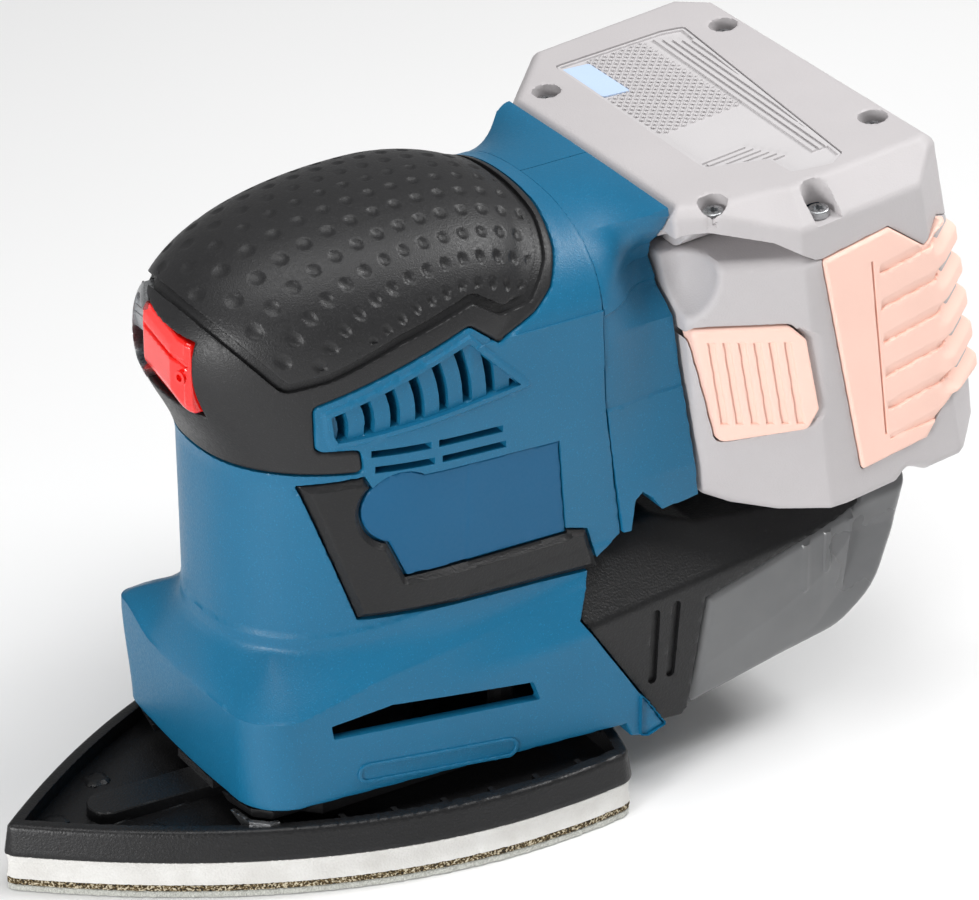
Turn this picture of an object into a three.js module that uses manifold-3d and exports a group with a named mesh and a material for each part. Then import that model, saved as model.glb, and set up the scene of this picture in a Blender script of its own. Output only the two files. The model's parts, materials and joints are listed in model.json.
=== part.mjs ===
// A cordless palm sander with an iron-shaped plate for corners and edges.
// Millimetres, +Z up, +X towards the plate's tip, +Y to the tool's left. The origin is on the
// sanding face, on the motor's axis.
import * as THREE from "three";
import { mergeVertices } from "three/addons/utils/BufferGeometryUtils.js";
import Module from "manifold-3d";

const wasm = await Module();
wasm.setup();

// ---------- driving dimensions ----------
const GAP = 0.3; // between two pieces that touch
const ROUND = 24; // sides of a round piece

const TIP_X = 92; // the plate's tip, ahead of the motor axis
const WIDEST_X = -33;
const PLATE_HALF = 52.4; // half of the widest width
const PLATE_POWER = 2.03; // how the sides curve in towards the tip
const HEEL_X = -56; // where the side meets the rounded rear edge
const HEEL_BOW = 7.6; // how far the rear edge bows backwards

const SHEET = 1.7; // thicknesses of the stack under the plate
const HOOKS = 1.5;
const FOAM = 6.3;
const TRAY = 7.9;
const TRAY_FLOOR = 2.6;
const TRAY_RIM = 3.6;
const HOOKS_Z = SHEET + GAP;
const FOAM_Z = HOOKS_Z + HOOKS + GAP;
const TRAY_Z = FOAM_Z + FOAM + GAP;
const RIM_Z = TRAY_Z + TRAY; // top of the tray's rim

const ORBIT = 0.8; // radius of the plate's circular motion
const WALL = 2.8; // of the housings
const SKIRT_Z = 22;
const SKIRT_CREST = 47; // above this the foot slopes in to the column
const SKIRT_TOP = 62.5;
const CENTRE_X = -17.4; // the widest place of the body
const COLUMN_TOP = 122;
const SEAM_X = -56; // between the motor housing and the battery holder
const HOLDER_HALF = 37.6;
const GRIP_SKIN = 3.2;
const VENT_X = 19; // the front cooling slot
const VENT_Z = 123.4;
const VENT_PITCH = 6.1;
const VENT_WIDTH = 2.6;
const DUCT_HALF = 12;
const DUCT_Z0 = 35.5;
const DUCT_Z1 = 43.5;

const PACK_TILT = THREE.MathUtils.degToRad(6.4);
const PACK_X = -83.4; // lower front corner of the battery pack
const PACK_Z = 78.6;
const PACK_DEEP = 75; // away from the tool
const PACK_HIGH = 79;
const PACK_NEAR = 54; // left end
const PACK_FAR = -58; // right end

// ---------- materials ----------
const finish = (color, roughness, metalness = 0) =>
  new THREE.MeshStandardMaterial({ color, roughness, metalness });
const blue = finish(0x2d6e9b, 0.45);
const softBlack = finish(0x3a3a3b, 0.75);
const black = finish(0x1b1b1c, 0.6);
const red = finish(0xe81c12, 0.25);
const white = finish(0xe8e8e2, 0.9);
const gold = finish(0x4b3c20, 0.9);
const fleece = finish(0xd9dcd6, 0.95);
const steel = finish(0xb8b9bb, 0.35, 1);
const copper = finish(0xb87333, 0.4, 1);
const smoke = finish(0x6f7174, 0.2);
const paleGrey = finish(0xbcb8b8, 0.6);
const salmon = finish(0xf6cdbf, 0.65);
const green = finish(0x1f5f3a, 0.6);

// ---------- geometry helpers ----------
function bare(geometry) {
  const copy = geometry.clone();
  for (const name of ["normal", "uv"]) copy.deleteAttribute(name);
  return mergeVertices(copy, 1e-4);
}

function toSolid(geometry) {
  const g = bare(geometry);
  return new wasm.Manifold(
    new wasm.Mesh({
      numProp: 3,
      vertProperties: new Float32Array(g.attributes.position.array),
      triVerts: new Uint32Array(g.index.array),
    }),
  );
}

function toGeometry(solid) {
  const m = solid.getMesh();
  const g = new THREE.BufferGeometry();
  g.setAttribute("position", new THREE.BufferAttribute(new Float32Array(m.vertProperties), 3));
  g.setIndex(new THREE.BufferAttribute(new Uint32Array(m.triVerts), 1));
  g.computeVertexNormals();
  return g;
}

const cut = (first, ...others) =>
  toGeometry(others.reduce((s, o) => s.subtract(toSolid(o)), toSolid(first)));
const join = (first, ...others) =>
  toGeometry(others.reduce((s, o) => s.add(toSolid(o)), toSolid(first)));
const common = (first, ...others) =>
  toGeometry(others.reduce((s, o) => s.intersect(toSolid(o)), toSolid(first)));

function box(x0, x1, y0, y1, z0, z1) {
  const g = new THREE.BoxGeometry(x1 - x0, y1 - y0, z1 - z0);
  return g.translate((x0 + x1) / 2, (y0 + y1) / 2, (z0 + z1) / 2);
}

// An upright disc or, with a bore, a ring.
function disc(radius, z0, z1, bore = 0, x = 0, y = 0, sides = ROUND) {
  const shape = new THREE.Shape().absarc(0, 0, radius, 0, Math.PI * 2);
  if (bore) shape.holes.push(new THREE.Path().absarc(0, 0, bore, 0, Math.PI * 2, true));
  const g = new THREE.ExtrudeGeometry(shape, {
    depth: z1 - z0, bevelEnabled: false, curveSegments: sides / 2,
  });
  return g.translate(x, y, z0);
}

// A flat outline raised from z0 to z1.
function slab(points, z0, z1) {
  const shape = new THREE.Shape(points.map(([x, y]) => new THREE.Vector2(x, y)));
  const g = new THREE.ExtrudeGeometry(shape, { depth: z1 - z0, bevelEnabled: false });
  return g.translate(0, 0, z0);
}

// A side outline of [x, z] points, thick from y0 to y1.
function side(points, y0, y1) {
  return slab(points, -y1, -y0).rotateX(Math.PI / 2);
}

// A closed skin through rings of [x, y, z] points, all with the same number of points.
function loft(rings) {
  const count = rings[0].length;
  const positions = rings.flat(2);
  const index = [];
  for (let r = 0; r + 1 < rings.length; r++)
    for (let i = 0; i < count; i++) {
      const a = r * count + i;
      const b = r * count + ((i + 1) % count);
      index.push(a, b, b + count, a, b + count, a + count);
    }
  const outline = rings[0].map(([x, y]) => new THREE.Vector2(x, y));
  for (const [a, b, c] of THREE.ShapeUtils.triangulateShape(outline, [])) {
    const top = (rings.length - 1) * count;
    index.push(c, b, a, top + a, top + b, top + c);
  }
  const g = new THREE.BufferGeometry();
  g.setAttribute("position", new THREE.Float32BufferAttribute(positions, 3));
  g.setIndex(index);
  return g;
}

// A skin through rings that stand across X, from the rear one to the front one.
function loftX(rings) {
  const turned = new THREE.Matrix4().set(0, 0, 1, 0, 1, 0, 0, 0, 0, 1, 0, 0, 0, 0, 0, 1);
  return loft(rings.map((ring) => ring.map(([x, y, z]) => [y, z, x]))).applyMatrix4(turned);
}

const group = new THREE.Group();
function add(name, geometry, material) {
  geometry.computeVertexNormals();
  const mesh = new THREE.Mesh(geometry, material);
  mesh.name = name;
  group.add(mesh);
  return mesh;
}

// ---------- plate, foam and sheet ----------
const plateHalf = (x) =>
  PLATE_HALF * (1 - Math.abs((x - WIDEST_X) / (TIP_X - WIDEST_X)) ** PLATE_POWER);

// The iron-shaped outline, anticlockwise from the right heel, drawn in by inset.
function plateOutline(inset = 0) {
  const steps = 9;
  const left = [];
  for (let i = 0; i <= steps; i++) {
    const x = THREE.MathUtils.lerp(HEEL_X + inset, TIP_X - 2 * inset - 1, i / steps);
    left.push([x, Math.max(plateHalf(x + inset / 2) - inset, 0.8)]);
  }
  const heel = left[0][1];
  const rear = [-0.5, 0, 0.5].map((t) => [HEEL_X + inset - HEEL_BOW * (1 - t ** 2), t * heel]);
  const right = left.map(([x, y]) => [x, -y]);
  return [...right, ...left.toReversed(), ...rear.toReversed()];
}

add("sanding_sheet", slab(plateOutline(0), 0, SHEET), fleece);
add("hook_layer", slab(plateOutline(0.6), HOOKS_Z, HOOKS_Z + HOOKS), gold);
add("foam_pad", slab(plateOutline(0.8), FOAM_Z, FOAM_Z + FOAM), white);

function tray() {
  const block = slab(plateOutline(0), TRAY_Z, RIM_Z);
  const pocket = slab(plateOutline(TRAY_RIM), TRAY_Z + TRAY_FLOOR, RIM_Z + 1);
  const rib = slab([[16, -2], [46, 11], [50, 11], [52, 14], [49, 17], [44, 16], [14, 3]],
    TRAY_Z + TRAY_FLOOR - 1, TRAY_Z + TRAY_FLOOR + 3);
  return join(cut(block, pocket), rib);
}
add("sanding_plate", tray(), black);

// ---------- carrier between the bearing and the plate ----------
const SHAFT_R = 4;
const CARRIER_Z = TRAY_Z + TRAY_FLOOR + 3 + GAP;
const carrierPlate = slab(
  [[-46, -33], [22, -33], [36, -20], [36, 20], [22, 33], [-46, 33]], CARRIER_Z, CARRIER_Z + 3);
const cup = disc(14, CARRIER_Z + 2, CARRIER_Z + 12, 0, ORBIT);
const cupBore = disc(11 + GAP, CARRIER_Z + 3, CARRIER_Z + 13, 0, ORBIT);
const POST_PLACES = [[-34, -25], [-34, 25], [22, -22], [22, 22]];
add("pad_carrier", cut(join(carrierPlate, cup), cupBore), black);
add("pad_bearing", disc(11, CARRIER_Z + 3 + GAP, CARRIER_Z + 10, SHAFT_R + GAP, ORBIT), steel);
[-41, 29].forEach((x, i) => {
  const head = disc(3, CARRIER_Z + 3 + GAP, CARRIER_Z + 5.2, 0, x, 0, 12);
  add(`plate_screw_${i + 1}`, head, steel);
});
add("front_clip", box(36 + GAP, 39.6, -9, 9, CARRIER_Z, CARRIER_Z + 2.4), steel);

// ---------- motor ----------
const ECC_TOP = 40; // of the offset pin
const FAN_TOP = 52;
const fanDisc = disc(26, 44, 47);
const weight = common(disc(24, 46, FAN_TOP), box(-30, 2, -30, 30, 40, 60));
const fanHub = disc(9, ECC_TOP, FAN_TOP);
add("fan_counterweight", cut(join(fanDisc, weight, fanHub), disc(SHAFT_R + GAP, 30, 60)), steel);
function shaft() {
  const pin = disc(SHAFT_R, CARRIER_Z + 4, ECC_TOP - 2, 0, ORBIT);
  const spindle = disc(SHAFT_R, ECC_TOP - 4, 122);
  const core = disc(13, 70, 106);
  return join(pin, spindle, core);
}
add("motor_shaft", shaft(), steel);
add("motor_can", cut(disc(21, 66, 112), disc(18, 68, 110), disc(6, 60, 120)), steel);
add("lower_bearing", disc(9, 58, 64, SHAFT_R + GAP), steel);
add("upper_bearing", disc(8, 113, 119, SHAFT_R + GAP), steel);
add("bearing_bracket", cut(disc(29, 54.5, 62), disc(9 + GAP, 50, 70)), black);

// ---------- motor housing ----------
// One level of the housing: a superellipse in front of the widest place and another behind it,
// whose width changes towards the seam.
const signedPower = (v, power) => Math.sign(v) * Math.abs(v) ** power;
function bodyRing([z, front, half, rearHalf, rear, rearPower], offset) {
  const points = [];
  const frontSteps = 14;
  const rearSteps = 8;
  const total = frontSteps + rearSteps;
  for (let i = 0; i < total; i++) {
    const ahead = i <= frontSteps;
    const turn = ahead ? i / frontSteps - 0.5 : 0.5 + (i - frontSteps) / rearSteps;
    const a = turn * Math.PI;
    const power = 2 / (ahead ? 2.25 : rearPower);
    const reach = ahead ? front - offset - CENTRE_X : rear + offset * 0.5 - CENTRE_X;
    const along = reach * signedPower(Math.abs(Math.cos(a)), power);
    const width = ahead ? half : THREE.MathUtils.lerp(half, rearHalf, along / (SEAM_X - CENTRE_X));
    points.push([CENTRE_X + along, (width - offset) * signedPower(Math.sin(a), power), z]);
  }
  return points;
}

// Levels: height, reach in front, half width, half width at the seam, reach behind, its power.
const LEVELS = [
  [30, 37, 35.7, 36, -66, 9], [62, 37, 35.7, 36.2, -66, 9], [96, 37, 36.6, 37, -66, 9],
  [110, 38, 37.2, HOLDER_HALF, -66, 9], [COLUMN_TOP, 43.2, 37.8, HOLDER_HALF, -66, 9],
  [136, 49.1, 38, HOLDER_HALF, -64, 7], [147, 46.2, 36.4, 35, -58, 4],
  [156, 36.4, 30.7, 29, -51, 2.8], [162, 22.1, 22.6, 22, -42.1, 2.4], [165.5, 5.7, 13.2, 13, -31.8, 2.2],
  [167, -14, 3, 3, -21, 2.2],
];
function column(offset) {
  const bottom = LEVELS[0];
  return loft(LEVELS.map((level) => {
    const drop = level[0] > COLUMN_TOP ? offset : 0;
    const [z, ...rest] = level === bottom ? bottom : [level[0] - drop, ...level.slice(1)];
    return bodyRing([z, ...rest], Math.min(offset, rest[1] * 0.6));
  }));
}

// The skirt around the foot: an upright wall that widens backwards, then a slope to the column.
function skirt(offset) {
  const row = (z, growFront, growSide, growRear) => {
    const f = 42 + growFront - offset;
    const w = 36.2 + growSide - offset;
    const r = 45.3 + growRear - offset;
    const half = [[f - 11, w], [f - 3.2, w - 3.2], [f, w - 11]];
    const left = half.map(([x, y]) => [x, y, z]);
    const right = half.toReversed().map(([x, y]) => [x, -y, z]);
    return [...left.toReversed(), [-68, r, z], [-68, -r, z], ...right.toReversed()];
  };
  return loft([row(SKIRT_Z - (offset ? 1 : 0), 0, 0, 0), row(SKIRT_CREST - offset, 0.8, 0.4, -0.6),
    row(SKIRT_TOP - offset, -5, -3.5, -7)]);
}

// The motor housing ends on a slanted line above the dust box and on the seam above that.
const seamSide = [
  [70, 10], [-69.5, 10], [-69.5, 19], [-47, 54], [-53, 70], [SEAM_X, 76],
  [SEAM_X + 1.5, 140], [-50, 152], [-40, 162], [-40, 185], [70, 185],
];
const seamCutter = side(seamSide, -70, 70);
// Seen from the side, the soft grip covers the dome and reaches down over the front.
const gripSide = [
  [70, 104], [38, 108], [26, 113], [13, 118.5], [24, 121.6], [24, 131], [-18, 139.6],
  [-25, 134], [-36, 139], [-41, 152], [-39, 162], [-39, 190], [70, 190],
];
const gripCutter = side(gripSide, -70, 70);
const SWITCH_FRONT = box(33.5, 60, -14, 17.6, 124, 147.4);

// Upright cooling slots, taller towards the back, with a short one behind them.
function vents() {
  const count = 7;
  const slots = [];
  for (let i = 0; i < count; i++) {
    const x = VENT_X - i * VENT_PITCH;
    const top = THREE.MathUtils.lerp(VENT_Z + 6.4, VENT_Z + 14, i / (count - 1));
    slots.push(box(x - VENT_WIDTH / 2, x + VENT_WIDTH / 2, -60, 60, VENT_Z, top));
  }
  const last = VENT_X - count * VENT_PITCH;
  slots.push(box(last - VENT_WIDTH / 2, last + VENT_WIDTH / 2, -60, 60, VENT_Z + 1, VENT_Z + 5.5));
  return slots;
}

// The hole that the dust duct passes through.
function ductHole() {
  return box(-78, -46, -DUCT_HALF - GAP, DUCT_HALF + GAP, DUCT_Z0 - GAP, DUCT_Z1 + GAP);
}

function motorHousing() {
  const outer = common(join(column(0), skirt(0)), seamCutter);
  const recessed = cut(outer, common(cut(column(-5), column(GRIP_SKIN + GAP)), gripCutter));
  const innerCutter = side(seamSide.map(([x, z]) => [x + WALL, z]), -70, 70);
  const lower = common(column(WALL), box(-90, 60, -60, 60, 25, 104));
  const upper = common(column(GRIP_SKIN + WALL), box(-90, 60, -60, 60, 103, 170));
  const hollow = common(join(lower, upper, skirt(WALL)), innerCutter);
  const exhaust = side([[21, 39], [21.6, 43], [5, 45], [-33, 41], [-35, 35.5]], -80, 80);
  const rearDoor = box(-80, -50, -30, 30, 60, 150);
  return cut(recessed, hollow, SWITCH_FRONT, exhaust, ...vents(), rearDoor, ductHole());
}
add("motor_housing", motorHousing(), blue);

const gripShell = common(cut(column(0), column(GRIP_SKIN)), gripCutter);
add("grip_cover", cut(gripShell, SWITCH_FRONT), softBlack);

// ---------- trims and plates on the sides ----------
const trimSide = [
  [25, 107.4], [12, 107], [9.6, 100.6], [8, 95], [2.6, 86.8], [-0.6, 77.6], [-50.6, 76.2],
  [-53.4, 66], [10.6, 68.2],
];
const plateSide = [
  [9.5, 106], [-42, 103.6], [-44, 78], [-2, 79], [1, 86.4], [6.6, 95.4], [8.2, 100.8],
];
[["left", 1], ["right", -1]].forEach(([name, sign]) => {
  const band = sign > 0 ? [20, 60] : [-60, -20];
  const trim = cut(common(column(-1.2), side(trimSide, ...band)), column(-GAP));
  add(`side_trim_${name}`, trim, softBlack);
  const plate = cut(common(column(-0.9), side(plateSide, ...band)), column(-GAP));
  add(`nameplate_${name}`, plate, blue);
});

// ---------- switch ----------
const ROCKER_X = 39.5; // the rocker's pivot
const ROCKER_Y = 5.2;
const rockerFace = [[36.5, -6], [46.4, -6.6], [46.6, 7.2], [45.1, 13.4], [45, 17], [39.5, 17],
  [ROCKER_X - 3, ROCKER_Y]];
add("switch_rocker", slab(rockerFace, 125, 146.4), red);
add("switch_module", box(18, 30, -9, 13, 128, 144), black);

// ---------- battery holder ----------
const cosT = Math.cos(PACK_TILT);
const sinT = Math.sin(PACK_TILT);
// A point in the pack's own frame: back from the holder and up along it.
const packPoint = (back, up) => [PACK_X - back * cosT + up * sinT, PACK_Z + back * sinT + up * cosT];
const holderSide = [
  [SEAM_X - GAP, 76.4], [SEAM_X + 1.5 - GAP, 140], [-50.4, 152], [-40.4, 162],
  packPoint(0.5 - GAP, PACK_HIGH + 1), packPoint(-GAP, 0), [-64, 74],
];
const holderHollow = [
  [SEAM_X + 2, 80], [SEAM_X + 3, 140], [-51, 150], packPoint(-5, PACK_HIGH - 5), packPoint(-5, 5),
];
function inPack(back0, back1, y0, y1, up0, up1) {
  return side([packPoint(back0, up0), packPoint(back1, up0), packPoint(back1, up1),
    packPoint(back0, up1)], y0, y1);
}
const BLOCK = [-9, 3, -16, 16, 24, 52]; // terminal block in the pack's frame
const grown = ([a, b, c, d, e, f], by) => [a - by, b + by, c - by, d + by, e - by, f + by];
const RAILS = [[8, 12], [64, 68]]; // heights of the two rails
const SCREWS_UP = [12, 62];
function screwAt(up, radius, y0, y1) {
  const [x, z] = packPoint(-14, up);
  return disc(radius, -y1, -y0, 0, x, z, 12).rotateX(Math.PI / 2);
}
// Seen from behind, the holder's top is domed at the seam and flat at the pack.
function holderSection(x, shoulder, crown) {
  const half = [[HOLDER_HALF, 60], [HOLDER_HALF, shoulder], [31, (shoulder + crown) / 2 + 2],
    [16, crown - 1]];
  const left = half.map(([y, z]) => [x, -y, z]);
  const right = half.map(([y, z]) => [x, y, z]);
  return [left[0], ...right, [x, 0, crown], ...left.slice(1).toReversed()];
}
const holderRoof = loftX([holderSection(-95, 158, 159), holderSection(-78, 155.6, 158.6),
  holderSection(-60, 141, 158), holderSection(-38, 130, 162)]);
function holderHalf(sign) {
  const y0 = sign > 0 ? GAP / 2 : -HOLDER_HALF;
  const y1 = sign > 0 ? HOLDER_HALF : -GAP / 2;
  const hollow = side(holderHollow, WALL - HOLDER_HALF, HOLDER_HALF - WALL);
  const rails = RAILS.map((up) => inPack(-2, 5, y0, y1, ...up));
  const bores = sign < 0 ? SCREWS_UP.map((up) => screwAt(up, 3 + GAP, -40, -30)) : [];
  const shell = common(side(holderSide, y0, y1), holderRoof);
  const roomy = common(hollow, holderRoof.clone().translate(0, 0, -WALL));
  return cut(join(shell, ...rails), roomy, inPack(...grown(BLOCK, GAP)), ...bores);
}
add("rear_housing_left", holderHalf(1), blue);
add("rear_housing_right", holderHalf(-1), blue);
SCREWS_UP.forEach((up, i) => add(`housing_screw_${i + 1}`, screwAt(up, 3, -37, -31), steel));

// ---------- electrics and seals inside ----------
add("circuit_board", box(-68, -66.4, -26, 26, 92, 138), green);
const CONTACT_UP = [31, 44];
add("terminal_block", inPack(...BLOCK), black);
CONTACT_UP.forEach((up, i) =>
  add(`contact_blade_${i + 1}`, inPack(3 + GAP, 9, -12, 10, up, up + 1), copper));
POST_PLACES.forEach(([x, y], i) =>
  add(`orbit_post_${i + 1}`, disc(3.4, CARRIER_Z + 3 + GAP, 43, 0, x, y, 12), softBlack));
add("dust_seal", disc(20, CARRIER_Z + 3 + 2 * GAP, 36, 17), softBlack);
add("dust_duct", cut(box(-58, -30, -DUCT_HALF, DUCT_HALF, DUCT_Z0, DUCT_Z1),
  box(-70, -20, 2 - DUCT_HALF, DUCT_HALF - 2, DUCT_Z0 + 2, DUCT_Z1 - 2)), black);

// ---------- dust box ----------
const BOX_HALF = 42;
const frameSide = [
  [-47.6, 53.6], [-70, 19], [-77, 17.6], [-82.5, 18.2], [-84, 50], [-120, 59.5], [-131, 64],
  [-131, 65.4], [-86, 66.4], [-76, 69.6], [-67, 69], [-55, 69], [-52, 64],
];
// The roof slopes up and inwards from a crest that rises towards the back.
function roofed(outline, half, drop = 0) {
  const block = side(outline, -half, half);
  const crest = (x) => 53 + 9.5 * ((-48 - x) / 80) - drop;
  const roof = (x) => [[x, -70, 0], [x, 70, 0], [x, 70, crest(x) - 34], [x, half - 22, crest(x) + 24],
    [x, 22 - half, crest(x) + 24], [x, -70, crest(x) - 34]];
  return common(block, loftX([roof(-170), roof(-30)]));
}
const containerSide = [
  [-84.6, 50], [-83, 18.2], [-128, 26], [-139, 34], [-145.5, 48], [-147, 62], [-147, 66],
  [-131.6, 65], [-131.6, 63.6], [-120, 59.1],
];
const frameInside = [
  [-53, 50], [-72.6, 22], [-90, 21], [-88, 47], [-120, 56], [-136, 60], [-136, 62.6],
  [-87, 63.6], [-76, 66.6], [-68, 66.2], [-57, 66.2],
];
const containerInside = [
  [-78, 50], [-78, 21], [-127, 29], [-136, 36], [-142, 49], [-143.6, 61], [-143.6, 70], [-78, 70],
];
add("dust_box_frame", cut(roofed(frameSide, BOX_HALF),
  roofed(frameInside, BOX_HALF - WALL, WALL), ductHole()), black);
add("dust_container", cut(roofed(containerSide, BOX_HALF - 0.4),
  roofed(containerInside, BOX_HALF - WALL, WALL)), smoke);
add("microfilter", box(-82, -76, -36, 36, 22.6, 48), white);

// ---------- battery pack ----------
const COVER_UP = 63; // where the cover meets the case
const BELLY = -11; // how far the case bulges below the holder
const CHAMFER = 0.65; // slope of the face that carries the release button
const BUTTON_BACK = [3, 25];
const BUTTON_UP = [14, 45];
const BUTTON_THICK = 4;
const BUTTON_TRAVEL = 2.5;
const BUMPER_THICK = 2.8;
const chamferAt = (back) => 37.2 + CHAMFER * back;

// An outline of [back, left] points in the pack's frame, raised from up0 to up1.
function packSlab(points, up0, up1) {
  return slab(points.map(([back, left]) => [-back, left]), up0, up1)
    .rotateY(PACK_TILT).translate(PACK_X, 0, PACK_Z);
}
// An outline of [back, up] points in the pack's frame, thick from y0 to y1.
function packSide(points, y0, y1) {
  return side(points.map(([back, up]) => packPoint(back, up)), y0, y1);
}
const packPlan = [[GAP, -38], [GAP, chamferAt(0)], [26, PACK_NEAR], [62, PACK_NEAR], [PACK_DEEP, 46],
  [PACK_DEEP, -50], [66, PACK_FAR], [20, PACK_FAR]];
const packHollow = [[12.5, -48], [12.5, 32], [24, 39.5], [30, 48], [59, 48], [71, 41], [71, -47],
  [64, -55], [21, -55]];
const bumperStrip = [[31, PACK_NEAR + 2], [PACK_DEEP + 9, PACK_NEAR + 2], [PACK_DEEP + 9, 14],
  [PACK_DEEP - BUMPER_THICK, 14], [PACK_DEEP - BUMPER_THICK, 44.4], [61.2, PACK_NEAR - BUMPER_THICK],
  [31, PACK_NEAR - BUMPER_THICK]];
const bumperSide = [[31, 61], [50.5, 62], [60.6, 54], [67.4, 57.4], [78, 50], [78, 10.2], [66, 10.2],
  [58, 0], [38.3, -1.2]];
const bumperMiddle = [54, 31];
const bumperPocketSide = bumperSide.map(([back, up]) => {
  const out = [back - bumperMiddle[0], up - bumperMiddle[1]];
  const scale = 1 + (2 * GAP) / Math.hypot(...out);
  return [bumperMiddle[0] + out[0] * scale, bumperMiddle[1] + out[1] * scale];
});
const buttonPlan = (grow, travel) => {
  const [b0, b1] = [BUTTON_BACK[0] - grow, BUTTON_BACK[1] + grow];
  const outer = travel ? 20 : 0.6;
  return [[b0, chamferAt(b0) + outer], [b1, chamferAt(b1) + outer],
    [b1, chamferAt(b1) - BUTTON_THICK - grow - travel], [b0, chamferAt(b0) - BUTTON_THICK - grow - travel]];
};

function packCase() {
  const outline = [[GAP, -1.6], [8, -6], [18, -9.3], [34, BELLY], [71, BELLY + 0.6], [PACK_DEEP + 1, -5],
    [PACK_DEEP + 1, COVER_UP], [GAP, COVER_UP]];
  const block = common(packSlab(packPlan, 2 * BELLY, PACK_HIGH), packSide(outline, -60, 60));
  const hollow = packSlab(packHollow, 2.6, PACK_HIGH);
  const slot = inPack(-1, 10.4, PACK_FAR - 1, 18, 22, 54);
  const groove = inPack(-1, 6, PACK_FAR - 1, 39, RAILS[0][0] - 2 * GAP, RAILS[0][1] + 2 * GAP);
  const [low, high] = BUTTON_UP;
  const pocket = packSlab(buttonPlan(2 * GAP, BUTTON_TRAVEL), low - 2 * GAP, high + 2 * GAP);
  const recess = common(packSlab(bumperStrip, -10, 70), packSide(bumperPocketSide, 0, 60));
  return cut(block, hollow, slot, groove, pocket, recess.translate(1.2 * GAP, -1.2 * GAP, 0));
}
function packCover() {
  const edge = 3;
  const outline = [[GAP, COVER_UP + GAP], [PACK_DEEP + 1, COVER_UP + GAP],
    [PACK_DEEP + 1, PACK_HIGH - edge - 1], [PACK_DEEP - edge, PACK_HIGH], [GAP, PACK_HIGH]];
  const block = common(packSlab(packPlan, 0, PACK_HIGH + 1), packSide(outline, -60, 60));
  // The left edge of the top is cut off by a turned box.
  const bevel = new THREE.BoxGeometry(200, 20, 20).rotateX(Math.PI / 4)
    .translate(0, PACK_NEAR + 3.3, PACK_HIGH + 3.3).rotateY(PACK_TILT).translate(PACK_X, 0, PACK_Z);
  const hollow = packSlab(packHollow, COVER_UP - 1, PACK_HIGH - 4);
  const roomy = common(hollow, inPack(0, PACK_DEEP, -60, 45, 0, PACK_HIGH));
  const groove = inPack(-1, 6, PACK_FAR - 1, 39, RAILS[1][0] - 2 * GAP, RAILS[1][1] + 2 * GAP);
  return cut(block, bevel, roomy, groove);
}
add("battery_case", packCase(), paleGrey);
add("battery_cover", packCover(), paleGrey);
add("release_button", packSlab(buttonPlan(0, 0), ...BUTTON_UP), salmon);
const bumperBody = common(packSlab(packPlan, -10, 70), packSlab(bumperStrip, -10, 70));
add("battery_bumper", common(bumperBody, packSide(bumperSide, 0, 60)), salmon);

const CELL_R = 9.2;
const CELL_LENGTH = 65;
const CELL_PITCH = 19.6;
for (let row = 0; row < 2; row++)
  for (let n = 0; n < 5; n++) {
    const [x, z] = packPoint(40 + row * CELL_PITCH, 3.2);
    const y = (n - 2) * CELL_PITCH - 4;
    const cell = disc(CELL_R, 0, CELL_LENGTH, 0, 0, 0, 16).rotateY(PACK_TILT).translate(x, y, z);
    add(`battery_cell_${row * 5 + n + 1}`, cell, steel);
  }

export default group;
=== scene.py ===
# A cordless palm sander with an iron-shaped plate. Fields are in millimetres in the frame's own
# axes (+X towards the tip, +Y to the left, +Z up); a field is negative inside its shape.
import json
import math

import bpy
import numpy as np
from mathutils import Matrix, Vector


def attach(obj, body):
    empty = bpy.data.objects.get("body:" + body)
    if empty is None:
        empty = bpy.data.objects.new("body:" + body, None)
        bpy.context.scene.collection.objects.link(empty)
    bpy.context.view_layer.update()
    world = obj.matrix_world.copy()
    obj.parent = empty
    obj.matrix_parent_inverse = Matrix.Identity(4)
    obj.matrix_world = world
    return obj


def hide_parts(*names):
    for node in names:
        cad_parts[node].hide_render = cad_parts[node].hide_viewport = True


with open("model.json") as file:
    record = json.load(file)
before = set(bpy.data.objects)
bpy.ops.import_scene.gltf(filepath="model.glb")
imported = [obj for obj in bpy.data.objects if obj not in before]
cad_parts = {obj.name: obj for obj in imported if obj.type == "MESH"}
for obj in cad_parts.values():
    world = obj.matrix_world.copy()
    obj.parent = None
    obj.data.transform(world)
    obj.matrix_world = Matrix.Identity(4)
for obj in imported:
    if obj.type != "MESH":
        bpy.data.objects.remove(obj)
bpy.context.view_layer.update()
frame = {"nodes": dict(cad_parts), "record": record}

MM = 0.001
COARSE = 1.0

# ---------- driving dimensions ----------
CENTRE_X = -17.4  # of the grip's dome
DOME_Z = 136.0
DOME_HIGH = 31.0
DOME_REAR = 41.6
DOME_POWER = 2.34
REACH = (54.4, 66.5)  # in front of CENTRE_X, at the foot and under the dome
HALF = (35.7, 38.0)  # half widths, likewise
PLAN_POWER = (2.35, 2.1)
WIDENS_FROM = 60.0  # where the sides begin to spread, and over what height
WIDENS_OVER = 66.0
LEANS_FROM = 104.0  # where the front begins to lean out
ARCH_Z = 130.0  # the arch behind the dome
ARCH_HIGH = 28.0
ARCH_POWER = 2.4
GRIP_SKIN = 3.2
WALL = 2.8
GAP = 0.25
SEAM_X = -55.0

PACK_TILT = math.radians(6.4)
PACK_X = -83.4
PACK_Z = 78.6
PACK_HIGH = 79.0
COVER_UP = 63.0

TRAY_TOP = 18.3
TRAY_Z = 10.4
TRAY_FLOOR = 13.0
FOAM_Z = 3.8
HOOKS_Z = 2.0


# ---------- ways to put fields together ----------
def smooth(t):
    t = np.clip(t, 0, 1)
    return t * t * (3 - 2 * t)


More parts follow.
